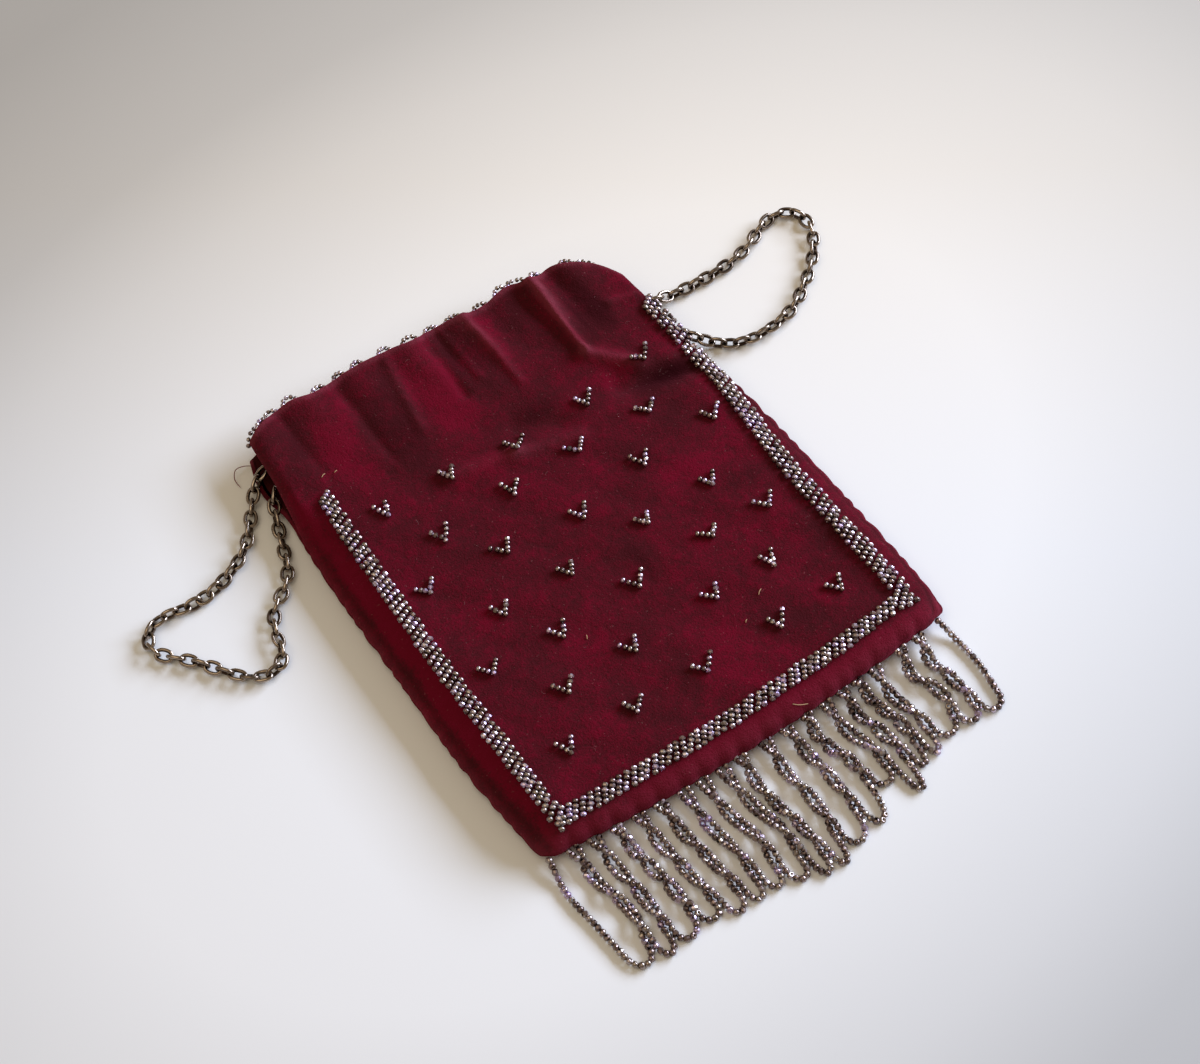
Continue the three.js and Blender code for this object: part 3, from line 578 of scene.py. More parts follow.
def level_share(x, y, roll, bottom_roll, inset):
    """How far a panel has levelled out, 0 at its three seams: the product of three quarter ellipses."""
    left, right = seam_x(y, y - bottom_y(x))
    sides = round_over(x - left - inset, roll - inset) * round_over(right - inset - x, roll - inset)
    return sides * round_over(y - bottom_y(x) - inset, bottom_roll - inset)


def edge_height(x, y, edge):
    """Height of a panel's edge: that of the sewn seam, easing to the slit's lip beside the header."""
    foot = np.where(x < 0, SLIT_FOOT["left"], SLIT_FOOT["right"])
    return lerp(edge["seam"], edge["slit"], ease(y, foot, foot + SLIT_BLEND))


def seam_detail(x, y):
    """Sewn edges: a groove along the seam line, and dips where each stitch draws the edge in."""
    distance = seam_distance(x, y)
    groove = bell(distance - SEAM_LINE_INSET, SEAM_LINE_HALF_WIDTH)
    tuck = bell(distance, SCALLOP_REACH) * np.cos(2 * np.pi * y / SCALLOP_PITCH)
    sewn = 1 - header_share(y)
    return -sewn * (SEAM_LINE_DEPTH * groove + 0.5 * SCALLOP_DEPTH * tuck)


def front_roll(y):
    """How far in from a side seam the front panel takes to level out."""
    return lerp(FRONT_ROLL, HEADER_ROLL, header_share(y))


def front_height(x, y):
    """Front panel: up from its seams over a quarter ellipse, with gathers and folds on its crown."""
    edge = edge_height(x, y, FRONT_EDGE)
    relief = gather_height(x, y) + fold_height(x, y) + undulation(x, y) + seam_detail(x, y)
    return edge + level_share(x, y, front_roll(y), FRONT_ROLL, 0.0) * (CROWN_HEIGHT - edge + relief)


def front_inner_height(x, y, wall):
    """Front panel's inner face: a wall under the crown, with gentler gathers and the folds' valleys."""
    edge = edge_height(x, y, FRONT_EDGE)
    relief = INNER_GATHER_SHARE * gather_height(x, y, INNER_GATHER_HALF_WIDTH) - wall
    relief = relief + np.minimum(fold_height(x, y), 0)
    return edge + level_share(x, y, front_roll(y), FRONT_ROLL, INNER_INSET) * (CROWN_HEIGHT - edge + relief)


def back_height(x, y):
    """Back panel: down from its seams to the table over a quarter ellipse."""
    return edge_height(x, y, BACK_EDGE) * (1 - level_share(x, y, BACK_ROLL, BACK_ROLL, 0.0))


def back_inner_height(x, y, wall):
    """Back panel's inner face: down from its seams to a wall above the table."""
    edge = edge_height(x, y, BACK_EDGE)
    return lerp(edge, wall, level_share(x, y, BACK_ROLL, BACK_ROLL, INNER_INSET))


def scallop(y):
    """How far the sewn edge swells out between stitches: the size of a sine, less its mean.

    A slow wave shifts the stitches up and down, and another makes some pull less than others.
    """
    shift = SCALLOP_SHIFT * np.sin(y / SCALLOP_WAVES[0])
    pull = SCALLOP_PULL + SCALLOP_PULL_SWING * np.sin(y / SCALLOP_WAVES[1])
    swell = np.abs(np.sin(np.pi * (y + shift) / SCALLOP_PITCH)) - 2 / np.pi
    return SCALLOP_DEPTH * pull * swell * (1 - header_share(y))


def panel_plan(u, v, inset, flare):
    """Plan of a panel: u of the way from seam to seam, v of the way from the bottom seam to the mouth.

    A flared panel's left edge reaches out beside the slit: a bell up the edge, gone by the panel's middle.
    """
    y0 = lerp(BOTTOM_Y + BOTTOM_BOW, MOUTH_TOP, v)
    left, right = seam_x(y0, y0 - BOTTOM_Y - BOTTOM_BOW)
    flared = bell(y0 - FLARE_Y, FLARE_REACH) * np.clip(1 - 2 * u, 0, 1) ** 3
    x = lerp(left + inset, right - inset, u) - flare * flared
    return x, lerp(bottom_y(x) + inset, mouth_y(x), v)


def pucker(points):
    """Moves a panel's sides in and out with the scallops, and its hem up at the head of each fringe leg."""
    x, y = points[..., 0], points[..., 1]
    left, right = seam_x(y, np.full_like(y, CORNER_RADIUS))
    near_right = bell(np.minimum(x - right, 0), SCALLOP_REACH)
    near_left = bell(np.maximum(x - left, 0), SCALLOP_REACH)
    pulled = bell(x[..., None] - LEG_ROWS[:, 0], HEM_PULL_HALF_WIDTH).sum(-1)
    moved = points.copy()
    moved[..., 0] += scallop(y) * (near_right - near_left)
    moved[..., 1] += HEM_PULL * bell(y - bottom_y(x), SCALLOP_REACH) * pulled
    return moved


def crowded(count, share):
    """Count steps from 0 to 1 that close up towards both ends: a mix of even and cosine steps."""
    even = np.linspace(0, 1, count)
    return lerp(even, (1 - np.cos(np.pi * even)) / 2, share)


def shell_ring(columns):
    """Round a panel's section: u, then cosine and sine of the turn from outer to inner face over a lip."""
    across = crowded(columns, CROWDED_ACROSS)
    lip = np.concatenate([LIP_STEPS, [np.pi / 2], np.pi - LIP_STEPS[::-1]])
    u = np.concatenate([across, np.ones(len(lip)), across[::-1], np.zeros(len(lip))])
    turn = np.concatenate([np.zeros(columns), lip, np.full(columns, np.pi), lip[::-1]])
    return u, np.cos(turn), np.sin(turn)


def shell_rows(rows):
    """Up a panel: v, the share of thickness left, and the bulge of the bottom lip and of the mouth's rim."""
    rim, flat = RIM_STEPS, np.zeros(rows + len(RIM_STEPS))
    v = np.concatenate([np.zeros(len(rim)), crowded(rows, CROWDED_UP), np.ones(len(rim))])
    share = np.concatenate([np.cos(rim), np.ones(rows), np.cos(rim[::-1])])
    return v, share, np.concatenate([np.sin(rim), flat]), np.concatenate([flat, np.sin(rim[::-1])])


def panel_shell(height, inner_height, wall_at, columns, rows, down, flare):
    """One panel of cloth as a closed shell.

    Each point is the middle of the wall plus half the wall turned round the section's lip, and both ends
    close in a half round: the bottom and side lips swell towards the other panel, the mouth's rim along Y.
    """
    u, turn_cos, turn_sin = shell_ring(columns)
    v, share, foot, mouth = shell_rows(rows)
    u_grid, v_grid = np.meshgrid(u, v)
    x0, y0 = panel_plan(u_grid, v_grid, 0.0, flare)
    outer = pucker(np.stack([x0, y0, height(x0, y0)], -1))
    wall = wall_at(y0)
    x1, y1 = panel_plan(u_grid, v_grid, INNER_INSET, flare)
    inner = pucker(np.stack([x1, y1, inner_height(x1, y1, wall)], -1))
    points = (outer + inner) / 2 + (outer - inner) / 2 * (share[:, None] * turn_cos)[..., None]
    points[..., 2] += down * LIP_BULGE * (np.outer(share, turn_sin) + foot[:, None])
    points[..., 1] += mouth[:, None] * wall / 2
    return points, np.broadcast_to(turn_cos, u_grid.shape)


def nap_and_shade_tone(x, y):
    """How the pile is brushed, with painted shade and highlights: patches that fall off as a square, or more
    crisply across the header.

    A line of painted shade follows the seams' grooves.
    """
    tone = np.zeros_like(x)
    # Patches of nap, of painted shade in creases and of painted highlights on ridges and the hem.
    for px, py, half_x, half_y, lean, rise in NAP_AND_SHADE_ROWS:
        along = (y / MM - py) / half_y
        across = (x / MM - px - lean * (y / MM - py)) / half_x
        tone += rise * np.exp(-across ** (CRISP_POWER if py > HEADER_NAP_Y else 2) - along ** 2)
    # Painted shade in the seams' grooves.
    seam = bell(seam_distance(x, y) - SEAM_LINE_INSET, SEAM_SHADE_HALF_WIDTH)
    return tone - SEAM_SHADE * seam * (1 - header_share(y))


def wear_and_highlight_share(points):
    """Where the pile is rubbed: along the mouth's rim, the sewn edges and the crests of the gathers.

    On the hem and the crests this also paints a highlight.
    """
    x, y = points[..., 0], points[..., 1]
    away = {"side": seam_distance(x, y), "rim": np.maximum(mouth_y(x) - y, 0), "hem": y - bottom_y(x)}
    worn = sum(share * bell(away[edge], reach) for edge, (reach, share) in WEAR_AND_HIGHLIGHT.items())
    # Crests of gathers and folds: rubbed pile and a painted highlight.
    crest = np.clip((gather_height(x, y) + fold_height(x, y)) / CREST_WEAR_AND_HIGHLIGHT, 0, 1) ** 2
    return np.clip(worn + crest, 0, 1)


# Meshes.

def tube_quads(rows, columns):
    """Quads of a grid that closes across its columns."""
    first, here = np.arange(rows - 1)[:, None] * columns, np.arange(columns)[None, :]
    there = (here + 1) % columns
    corners = [first + here, first + there, first + columns + there, first + columns + here]
    return np.stack(corners, -1).reshape(-1, 4)


def ring_quads(rows, columns):
    """Quads of a grid that closes both ways."""
    row, next_row = ((np.arange(rows)[:, None] + step) % rows * columns for step in (0, 1))
    here, there = ((np.arange(columns)[None, :] + step) % columns for step in (0, 1))
    corners = [row + here, next_row + here, next_row + there, row + there]
    return np.stack(corners, -1).reshape(-1, 4)


def new_mesh(name, points, faces, smooth=True, attributes=None):
    """A mesh object at the origin from arrays of points and faces, with named point attributes."""
    mesh = bpy.data.meshes.new(name)
    mesh.vertices.add(len(points))
    mesh.vertices.foreach_set("co", np.ascontiguousarray(points, np.float32).ravel())
    mesh.loops.add(faces.size)
    mesh.loops.foreach_set("vertex_index", np.ascontiguousarray(faces, np.int32).ravel())
    mesh.polygons.add(len(faces))
    mesh.polygons.foreach_set("loop_start", np.arange(0, faces.size, faces.shape[1], dtype=np.int32))
    mesh.polygons.foreach_set("use_smooth", np.full(len(faces), smooth))
    for key, values in (attributes or {}).items():
        layer = mesh.attributes.new(key, "FLOAT", "POINT")
        layer.data.foreach_set("value", np.ascontiguousarray(values, np.float32).ravel())
    mesh.update(calc_edges=True)
    piece = bpy.data.objects.new(name, mesh)
    bpy.context.scene.collection.objects.link(piece)
    return piece


def copies(name, placed, quads, smooth, attributes):
    """One mesh of many like shapes: the points of every copy, and the quads of the first."""
    count, size = placed.shape[:2]
    faces = quads[None] + (np.arange(count) * size)[:, None, None]
    return new_mesh(name, placed.reshape(-1, 3), faces.reshape(-1, 4), smooth, attributes)


def close_doubles(piece):
    """Merges points that meet, so that folded ends close."""
    shape = bmesh.new()
    shape.from_mesh(piece.data)
    bmesh.ops.remove_doubles(shape, verts=shape.verts, dist=MERGE_DISTANCE)
    bmesh.ops.recalc_face_normals(shape, faces=shape.faces)
    shape.to_mesh(piece.data)
    shape.free()


# Materials.

class Recipe:
    """A node material in the making, with its tree and its Principled shader."""

    def __init__(self, name):
        self.material = bpy.data.materials.new(name)
        self.material.use_nodes = True
        self.tree = self.material.node_tree
        self.shader = self.tree.nodes["Principled BSDF"]

    def node(self, kind, values=None, links=None, **settings):
        """A node of a kind, with socket values, links into its sockets by name or index, and settings."""
        made = self.tree.nodes.new("ShaderNode" + kind)
        for key, value in settings.items():
            setattr(made, key, value)
        for key, value in (values or {}).items():
            made.inputs[key].default_value = value
        for key, socket in (links or {}).items():
            self.tree.links.new(socket, made.inputs[key])
        return made.outputs

    def place(self):
        """Object coordinates."""
        return self.node("TexCoord")["Object"]

    def attribute(self, name):
        """A point attribute of the piece."""
        return self.node("Attribute", attribute_name=name)["Fac"]

    def noise(self, place, scale, detail=3.0, roughness=0.55):
        """Fractal noise between 0 and 1 at a scale in features per metre."""
        values = {"Scale": scale, "Detail": detail, "Roughness": roughness}
        return self.node("TexNoise", values, {"Vector": place})["Fac"]

    def scaled(self, socket, factor, offset=0.0):
        """Socket times a factor, plus an offset."""
        return self.node("Math", {1: factor, 2: offset}, {0: socket}, operation="MULTIPLY_ADD")[0]

    def joined(self, operation, first, second):
        """Sum or product of two sockets."""
        return self.node("Math", links={0: first, 1: second}, operation=operation)[0]

    def ranged(self, socket, low, high, top=1.0):
        """0 where the socket is at low, rising to top where it is at high."""
        values = {"From Min": low, "From Max": high, "To Max": top}
        return self.node("MapRange", values, {"Value": socket})["Result"]

    def ramp(self, socket, stops):
        """Colour ramp with stops of place and colour."""
        outputs = self.node("ValToRGB", links={"Fac": socket})
        elements = outputs[0].node.color_ramp.elements
        while len(elements) < len(stops):
            elements.new(0.5)
        for element, (place, colour) in zip(elements, stops):
            element.position = place
            element.color = (*colour, 1.0)
        return outputs["Color"]

    def mixed(self, share, first, second):
        """Mix of a socket's colour and a plain colour."""
        return self.node("Mix", {7: (*second, 1.0)}, {"Factor": share, 6: first}, data_type="RGBA")[2]

    def bump(self, height, strength, distance):
        """Fine relief of the surface."""
        relief = self.node("Bump", {"Strength": strength, "Distance": distance}, {"Height": height})
        self.tree.links.new(relief["Normal"], self.shader.inputs["Normal"])

    def shade(self, colour, roughness, **constants):
        """Links or sets the shader's colour and roughness, and sets its other inputs."""
        for key, value in (("Base Color", colour), ("Roughness", roughness)):
            if isinstance(value, bpy.types.NodeSocket):
                self.tree.links.new(value, self.shader.inputs[key])
            else:
                self.shader.inputs[key].default_value = value
        for key, value in constants.items():
            self.shader.inputs[key.replace("_", " ")].default_value = value


def dimmed(colour, share):
    """A colour at a share of its strength."""
    return [share * part for part in colour]


def velvet_material(made, look):
    """Silk velvet: nap brushed dark and bright with painted shade and highlights, crushed spots, pile grain,
    rubbed edges and a sheen.
    """
    place, nap_and_shade = made.place(), made.attribute("nap_and_shade")
    tone, spots = made.scaled(nap_and_shade, 1.0, offset=NAP_OFFSET), {}
    for key, (scale, detail, roughness, factor, offset) in NAP_SPOTS.items():
        spots[key] = made.noise(place, scale, detail, roughness)
        tone = made.joined("ADD", tone, made.scaled(spots[key], factor, offset))
    middle = [lerp(a, b, NAP_MIDDLE) for a, b in zip(look.dark, look.bright)]
    colour = made.ramp(tone, list(zip(NAP_STOPS, (look.dark, middle, look.bright))))
    # Painted shade in the creases: the dark colour, dimmed where the tone falls lowest.
    colour = made.mixed(made.ranged(nap_and_shade, *CREASE_TONES), colour, dimmed(look.dark, CREASE_SHADE))
    # Rubbed pile, with a painted highlight on crests and the hem.
    wear_and_highlight = made.joined("MULTIPLY", made.attribute("worn"), made.scaled(spots["patchy"], 1.2, offset=0.1))
    colour = made.mixed(wear_and_highlight, colour, look.worn)
    specks = made.noise(place, scale=1500, detail=1.0, roughness=0.4)
    colour = made.mixed(made.ranged(specks, *FLUFF_NOISE, top=FLUFF_SHARE), colour, look.lint)
    colour = made.mixed(made.attribute("inside"), colour, look.inside)
    made.shade(colour, roughness=0.95, Specular_IOR_Level=0.0, Sheen_Weight=0.30, Sheen_Roughness=0.35,
               Sheen_Tint=(0.90, 0.14, 0.22, 1.0))
    pile = made.joined("ADD", spots["grain"], made.scaled(spots["patchy"], 1.6))
    made.bump(pile, strength=0.7, distance=0.4 * MM)


def thread_material(made, look):
    """Loose sewing thread, tan or of the rubbed velvet's colour by its tone."""
    made.shade(made.ramp(made.attribute("tone"), [(0.0, look.thread), (1.0, look.worn)]), roughness=0.8)


def lint_material(made, look):
    """Pale dull fibre."""
    made.shade((*look.lint, 1.0), roughness=0.85)


def steel_material(made, look):
    """Cut steel: each bead browned, clean or blued by its own tone, with pits and smudges in its polish."""
    place = made.place()
    smudge = made.noise(place, scale=900)
    tone = made.joined("ADD", made.attribute("tone"), made.scaled(smudge, 0.3, offset=-0.15))
    colour = made.ramp(tone, [
        (0.0, dimmed(look.bronze, 0.55)), (0.3, look.bronze), (0.45, look.olive), (0.65, look.steel),
        (1.0, look.violet)])
    made.shade(colour, made.scaled(smudge, 0.3, offset=0.16), Metallic=1.0)
    made.bump(made.noise(place, scale=1700, detail=2.0), strength=0.2, distance=0.08 * MM)


def nickel_material(made, look):
    """Aged nickel: bright where links rub, with painted shade on their inner sides, and browned in blotches.
    """
    place = made.place()
    blotch = made.noise(place, scale=420, detail=4.0, roughness=0.6)
    # Painted shade on the links' inner sides, with tarnish in blotches.
    tarnish_and_shade = made.joined("ADD", made.attribute("grime_and_shade"), made.scaled(blotch, 1.5, offset=-0.75))
    colour = made.ramp(tarnish_and_shade, [(0.1, look.metal), (0.9, look.grime_and_shade)])
    made.shade(colour, made.scaled(tarnish_and_shade, 0.25, offset=0.15), Metallic=1.0)
    made.bump(made.noise(place, scale=1600), strength=0.25, distance=0.08 * MM)


def camera_sides(look):
    """Level unit vectors to the camera's right and away from it."""
    cos, sin = math.cos(look.azimuth), math.sin(look.azimuth)
    return Vector((cos, sin, 0.0)), Vector((-sin, cos, 0.0))


def floor_material(made, look):
    """Pale floor with a painted pool of light: a shade by distance in an oval, times a painted warm light
    that grows away from the camera.
    """
    place = made.place()
    right, ahead = camera_sides(look)

    def along(direction):
        """Distance along a direction."""
        return made.node("VectorMath", {1: direction}, {0: place}, operation="DOT_PRODUCT")["Value"]

    long_way, short_way = (right + ahead).normalized(), FLOOR_NARROW * (ahead - right).normalized()
    oval = made.node("CombineXYZ", links={"X": along(long_way), "Y": along(short_way)})["Vector"]
    distance = made.node("VectorMath", {1: FLOOR_MIDDLE}, {0: oval}, operation="DISTANCE")["Value"]
    # Painted pool of light: darker away from the oval's middle.
    painted_pool = made.ramp(distance, [(reach, dimmed(look.floor, shade)) for reach, shade in FLOOR_LIGHT_POOL])
    # Painted warm light, growing away from the camera.
    painted_warm_light = made.ramp(made.ranged(along(ahead), *FLOOR_LIGHT_TINT_ENDS), list(zip((0.0, 1.0), FLOOR_LIGHT_TINTS)))
    colour = made.node("Mix", {0: 1.0}, {6: painted_pool, 7: painted_warm_light}, data_type="RGBA", blend_type="MULTIPLY")[2]
    made.shade(colour, roughness=0.55, Specular_IOR_Level=0.25)


MATERIALS = {
    "burgundy_velvet": velvet_material, "loose_thread": thread_material, "lint": lint_material,
    "cut_steel_beads": steel_material, "tarnished_and_shaded_wire": nickel_material, "pale_floor": floor_material,
}


def paint(piece, name, look):
    """Gives a piece the named material, made on first use."""
    if name not in bpy.data.materials:
        MATERIALS[name](Recipe(name), look)
    piece.data.materials.append(bpy.data.materials[name])


def dress(piece, name, look):
    """Gives a piece its material, and sets it on the purse's body."""
    paint(piece, name, look)
    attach(piece, BODY)


# Beads.

def unit_bead():
    """A rounded ring of radius and half length 1: the half section turned about Z, and its quads."""
    angle = circle(BEAD_SIDES)
    radius, along = BEAD_SECTION[:, 0], BEAD_SECTION[:, 1]
    points = np.stack([
        np.outer(np.cos(angle), radius), np.outer(np.sin(angle), radius),
        np.broadcast_to(along, (BEAD_SIDES, len(along))),
    ], -1)
    return points.reshape(-1, 3), ring_quads(BEAD_SIDES, len(BEAD_SECTION))


def axis_frames(axes, spin):
    """Turns for beads: each axis becomes local Z, and spin turns the bead about it."""
    axes = unit(axes)
    helper = np.where(np.abs(axes[:, 2:3]) < STEEP_AXIS, [UP], [[1.0, 0.0, 0.0]])
    side = unit(np.cross(helper, axes))
    up = np.cross(axes, side)
    cos, sin = np.cos(spin)[:, None], np.sin(spin)[:, None]
    return np.stack([side * cos + up * sin, up * cos - side * sin, axes], -1)


def bead_piece(name, centres, axes, diameter, length, tone, look):
    """All beads of a piece in one mesh: the unit bead scaled, turned and moved to each centre.

    Sizes, spins and tones vary from bead to bead, and some keep flat facets where others are worn smooth.
    """
    chance = np.random.default_rng(SEEDS[name])
    count = len(centres)
    points, quads = unit_bead()
    girth = diameter / 2 * chance.uniform(*BEAD_GIRTHS, count)
    reach = length / 2 * chance.uniform(*BEAD_LENGTHS, count)
    lean = axes + chance.normal(0, BEAD_LEAN, axes.shape)
    turns = axis_frames(lean, chance.uniform(0, 2 * np.pi, count))
    scaled_points = points[None] * np.stack([girth, girth, reach], -1)[:, None]
    placed = np.einsum("nij,nkj->nki", turns, scaled_points) + centres[:, None]
    tones = np.repeat(np.clip(chance.normal(tone, BEAD_TONE_SPREAD, count), 0, 1), len(points))
    worn = np.repeat(chance.random(count) < BEAD_WORN_SHARE, len(quads))
    piece = copies(name, placed, quads, worn, {"tone": tones})
    dress(piece, "cut_steel_beads", look)
    return piece


def on_front(x, y, lift):
    """Points a lift above the front panel."""
    return np.stack([x, y, front_height(x, y) + lift], -1)


def sewn_piece(name, x, y, turn, diameter, look):
    """Beads lying on the front panel, each turned about Z."""
    axes = np.stack([np.cos(turn), np.sin(turn), 0 * turn], -1)
    centres = on_front(x, y, SEWN_LIFT * look.sewn_diameter)
    return bead_piece(name, centres, axes, diameter, look.sewn_pitch, SEWN_TONE, look)


def stitch_rows(x, y, slant, count, pitch):
    """Beads of slanting stitches: count beads a pitch apart along each stitch, centred on x and y."""
    along = (np.arange(count) - (count - 1) / 2) * pitch
    bead_x = (x[:, None] + along * np.cos(slant)[:, None]).ravel()
    bead_y = (y[:, None] + along * np.sin(slant)[:, None]).ravel()
    return bead_x, bead_y, np.repeat(slant, count)


def border_bottom_y(x):
    """Y of the border's bottom side: a parabola that bows down at its middle."""
    return BORDER_BOTTOM_Y + BORDER_BOW * ((x - BORDER_BOW_CENTRE_X) / BORDER_BOW_REACH) ** 2


def border_beads(look):
    """Stitches up both sides and along the bottom of the front panel, slanting alike, and its corners'."""
    chance = np.random.default_rng(SEEDS["stitches"])

    def strewn(values, spread):
        """Values with a random spread."""
        return values + chance.normal(0, spread, len(values))

    parts = []
    for column, side in ((1, "left"), (2, "right")):
        y = strewn(np.arange(BORDER_TOP[side], BORDER_SIDE_END[side], -look.stitch_pitch), STITCH_ALONG)
        x = strewn(through(BORDER_ROWS[:, 0], BORDER_ROWS[:, column], y), STITCH_ACROSS)
        degrees = np.interp(y / MM, BORDER_SLANT_ROWS[:, 0], BORDER_SLANT_ROWS[:, column])
        slant = strewn(np.radians(degrees), STITCH_TURN)
        parts.append(stitch_rows(x, y, slant, look.stitch_beads, look.sewn_pitch * BORDER_STRETCH[side]))
    x = strewn(np.arange(*BORDER_BOTTOM_ENDS, look.stitch_pitch), STITCH_ALONG)
    y = strewn(border_bottom_y(x), STITCH_ACROSS)
    slant = strewn(np.full(len(x), BORDER_BOTTOM_SLANT), STITCH_TURN)
    parts.append(stitch_rows(x, y, slant, look.stitch_beads, look.sewn_pitch))
    for x, y, degrees, count in CORNER_ROWS:
        middle = MM * np.array([x]), MM * np.array([y])
        parts.append(stitch_rows(*middle, np.radians([degrees]), count, look.sewn_pitch))
    x, y, turn = (np.concatenate(part) for part in zip(*parts))
    return strewn(x, BORDER_JITTER), strewn(y, BORDER_JITTER), turn


def sprig_beads():
    """Sprigs: a bead at the foot of each V and beads in equal steps up its arms, a little out of line."""
    chance = np.random.default_rng(SEEDS["sprigs"])
    steps = np.arange(1, SPRIG_ARM_BEADS + 1) / SPRIG_ARM_BEADS
    foot, arms = SPRIG_ROWS[:, None, :2], SPRIG_ROWS[:, 2:].reshape(-1, 2, 1, 2)
    along = (arms * steps[:, None]).reshape(len(SPRIG_ROWS), -1, 2)
    places = np.concatenate([foot, foot + along], 1)
    places = places + chance.normal(0, SPRIG_JITTER, places.shape)
    turn = np.concatenate([0 * foot[..., 0], np.arctan2(along[..., 1], along[..., 0])], 1)
    return places[..., 0].ravel(), places[..., 1].ravel(), turn.ravel()


def picot_beads():
    """Picots: an arch of beads over each place on the mouth, half an ellipse that ends in the rim."""
    chance = np.random.default_rng(SEEDS["picots"])
    angle = np.pi * (np.arange(PICOT_BEADS) + 0.5) / PICOT_BEADS
    span = PICOT_HALF_SPAN * chance.uniform(*PICOT_SPANS, len(PICOT_XS))[:, None]
    rise = PICOT_RISE * chance.uniform(*PICOT_RISES, len(PICOT_XS))[:, None]
    x = PICOT_XS[:, None] - span * np.cos(angle)
    y = mouth_y(x) + rise * np.sin(angle) + PICOT_DROP / 2
    z = front_height(x, mouth_y(x) - PICOT_DROP) - PICOT_DROP
    slope = (mouth_y(x + MM) - mouth_y(x - MM)) / (2 * MM)
    ahead_x, ahead_y = span * np.sin(angle), rise * np.cos(angle) + span * np.sin(angle) * slope
    axes = np.stack([ahead_x, ahead_y, 0 * ahead_x], -1)
    return np.stack([x, y, z], -1).reshape(-1, 3), axes.reshape(-1, 3)


def leg_strand(i, side, share, turns, spread, radius):
    """One string down a fringe leg: a helix about the leg's line, flattened, and splayed at its head.

    Its sway is a hyperbolic tangent of the turn's cosine, so that the two strings lie side by side between
    crossings, and the string that is passing over lifts by the square of the turn's sine.
    """
    leg = LEG_ROWS[i]
    x = through(np.linspace(0, 1, LEG_PLACES), leg[:LEG_PLACES], share)
    y = lerp(bottom_y(leg[0]) + LEG_HEAD_TUCK, leg[LEG_PLACES], share)
    z = np.full_like(x, radius)
    if 0 < i < len(LEG_ROWS) - 1:
        turn = 2 * np.pi * turns * (1 - share)
        reach = lerp(LEG_HEAD_SPREAD, spread, ease(share, 0, LEG_HEAD_SHARE))
        reach = lerp(reach, LEG_END_SPREAD, ease(share, LEG_END_SHARE, 1))
        sway = np.tanh(LEG_SQUARENESS * np.cos(turn)) / math.tanh(LEG_SQUARENESS)
        x = x + side * reach * sway
        z = z + 2 * radius * np.clip(side * np.sin(turn), 0, 1) ** 2
    z = z + HEAD_LIFT * (1 - ease(bottom_y(x) - y, 0, HEAD_LIFT_REACH))
    return np.stack([x, y, z], -1)


def loop_line(i, start, end):
    """The loop between two legs: a cubic that leaves both straight down and reaches the loop's lowest Y."""
    control_y = (8 * LEG_ROWS[i, -1] - start[1] - end[1]) / 6
    t = np.linspace(0, 1, LOOP_STEPS)[1:-1, None]
    first, second = (np.array([leg[0], control_y, leg[2]]) for leg in (start, end))
    return (1 - t) ** 3 * start + 3 * t * (1 - t) ** 2 * first + 3 * t ** 2 * (1 - t) * second + t ** 3 * end


def spaced(line, pitch):
    """Points a pitch apart along a line of close points, and the line's direction at each."""
    lengths = np.linalg.norm(np.diff(line, axis=0), axis=1)
    total = np.concatenate([[0], np.cumsum(lengths)])
    at, step = np.arange(pitch / 2, total[-1], pitch), pitch / 3
    points, ahead, behind = (
        np.stack([np.interp(at + shift, total, line[:, k]) for k in range(3)], -1)
        for shift in (0, step, -step)
    )
    return points, ahead - behind


def fringe_beads(look):
    """Fringe: each string goes down one leg, round a loop and up the next leg, with beads a pitch apart."""
    chance = np.random.default_rng(SEEDS["strings"])
    radius, legs = look.strung_diameter / 2, len(LEG_ROWS)
    turns = LEG_TURNS[chance.integers(0, len(LEG_TURNS), legs)]
    share = np.linspace(0, 1, LEG_STEPS)
    knots = chance.uniform(*LEG_SPREADS, (legs, SPREAD_KNOTS))
    knot_shares = np.linspace(0, 1, SPREAD_KNOTS)
    spreads = [LEG_EYE_SPREAD * np.interp(share, knot_shares, leg) for leg in knots]
    strings = []
    for i in range(legs - 1):
        down, up = (
            leg_strand(k, side, share, turns[k], spreads[k], radius) for k, side in ((i, 1), (i + 1, -1)))
        up = up[::-1]
        strings.append(spaced(np.concatenate([down, loop_line(i, down[-1], up[0]), up]), look.strung_pitch))
    return (np.concatenate(part) for part in zip(*strings))


# Chains and loose fibres.

def route_line(route):
    """Centripetal Catmull-Rom curve through a route: Hermite pieces timed by the square root of each span."""
    ends = np.concatenate([2 * route[:1] - route[1:2], route, 2 * route[-1:] - route[-2:-1]])
    before, start, end, after = ends[:-3], ends[1:-2], ends[2:-1], ends[3:]
    d0, d1, d2 = (
        np.sqrt(np.linalg.norm(b - a, axis=1, keepdims=True))
        for a, b in ((before, start), (start, end), (end, after))
    )
    leave = ((start - before) / d0 - (end - before) / (d0 + d1) + (end - start) / d1) * d1
    arrive = ((end - start) / d1 - (after - start) / (d1 + d2) + (after - end) / d2) * d1
    t = np.linspace(0, 1, ROUTE_STEPS, endpoint=False)[None, :, None]
    start, end, leave, arrive = (part[:, None] for part in (start, end, leave, arrive))
    line = (
        start * (2 * t ** 3 - 3 * t ** 2 + 1) + leave * (t ** 3 - 2 * t ** 2 + t)
        + end * (3 * t ** 2 - 2 * t ** 3) + arrive * (t ** 3 - t ** 2)
    )
    return np.concatenate([line.reshape(-1, 3), route[-1:]])


def level_frame(ahead):
    """Unit vectors for each direction: along it, level across it and upright."""
    ahead = unit(ahead)
    level = unit(np.cross(UP, ahead))
    return ahead, level, np.cross(ahead, level)


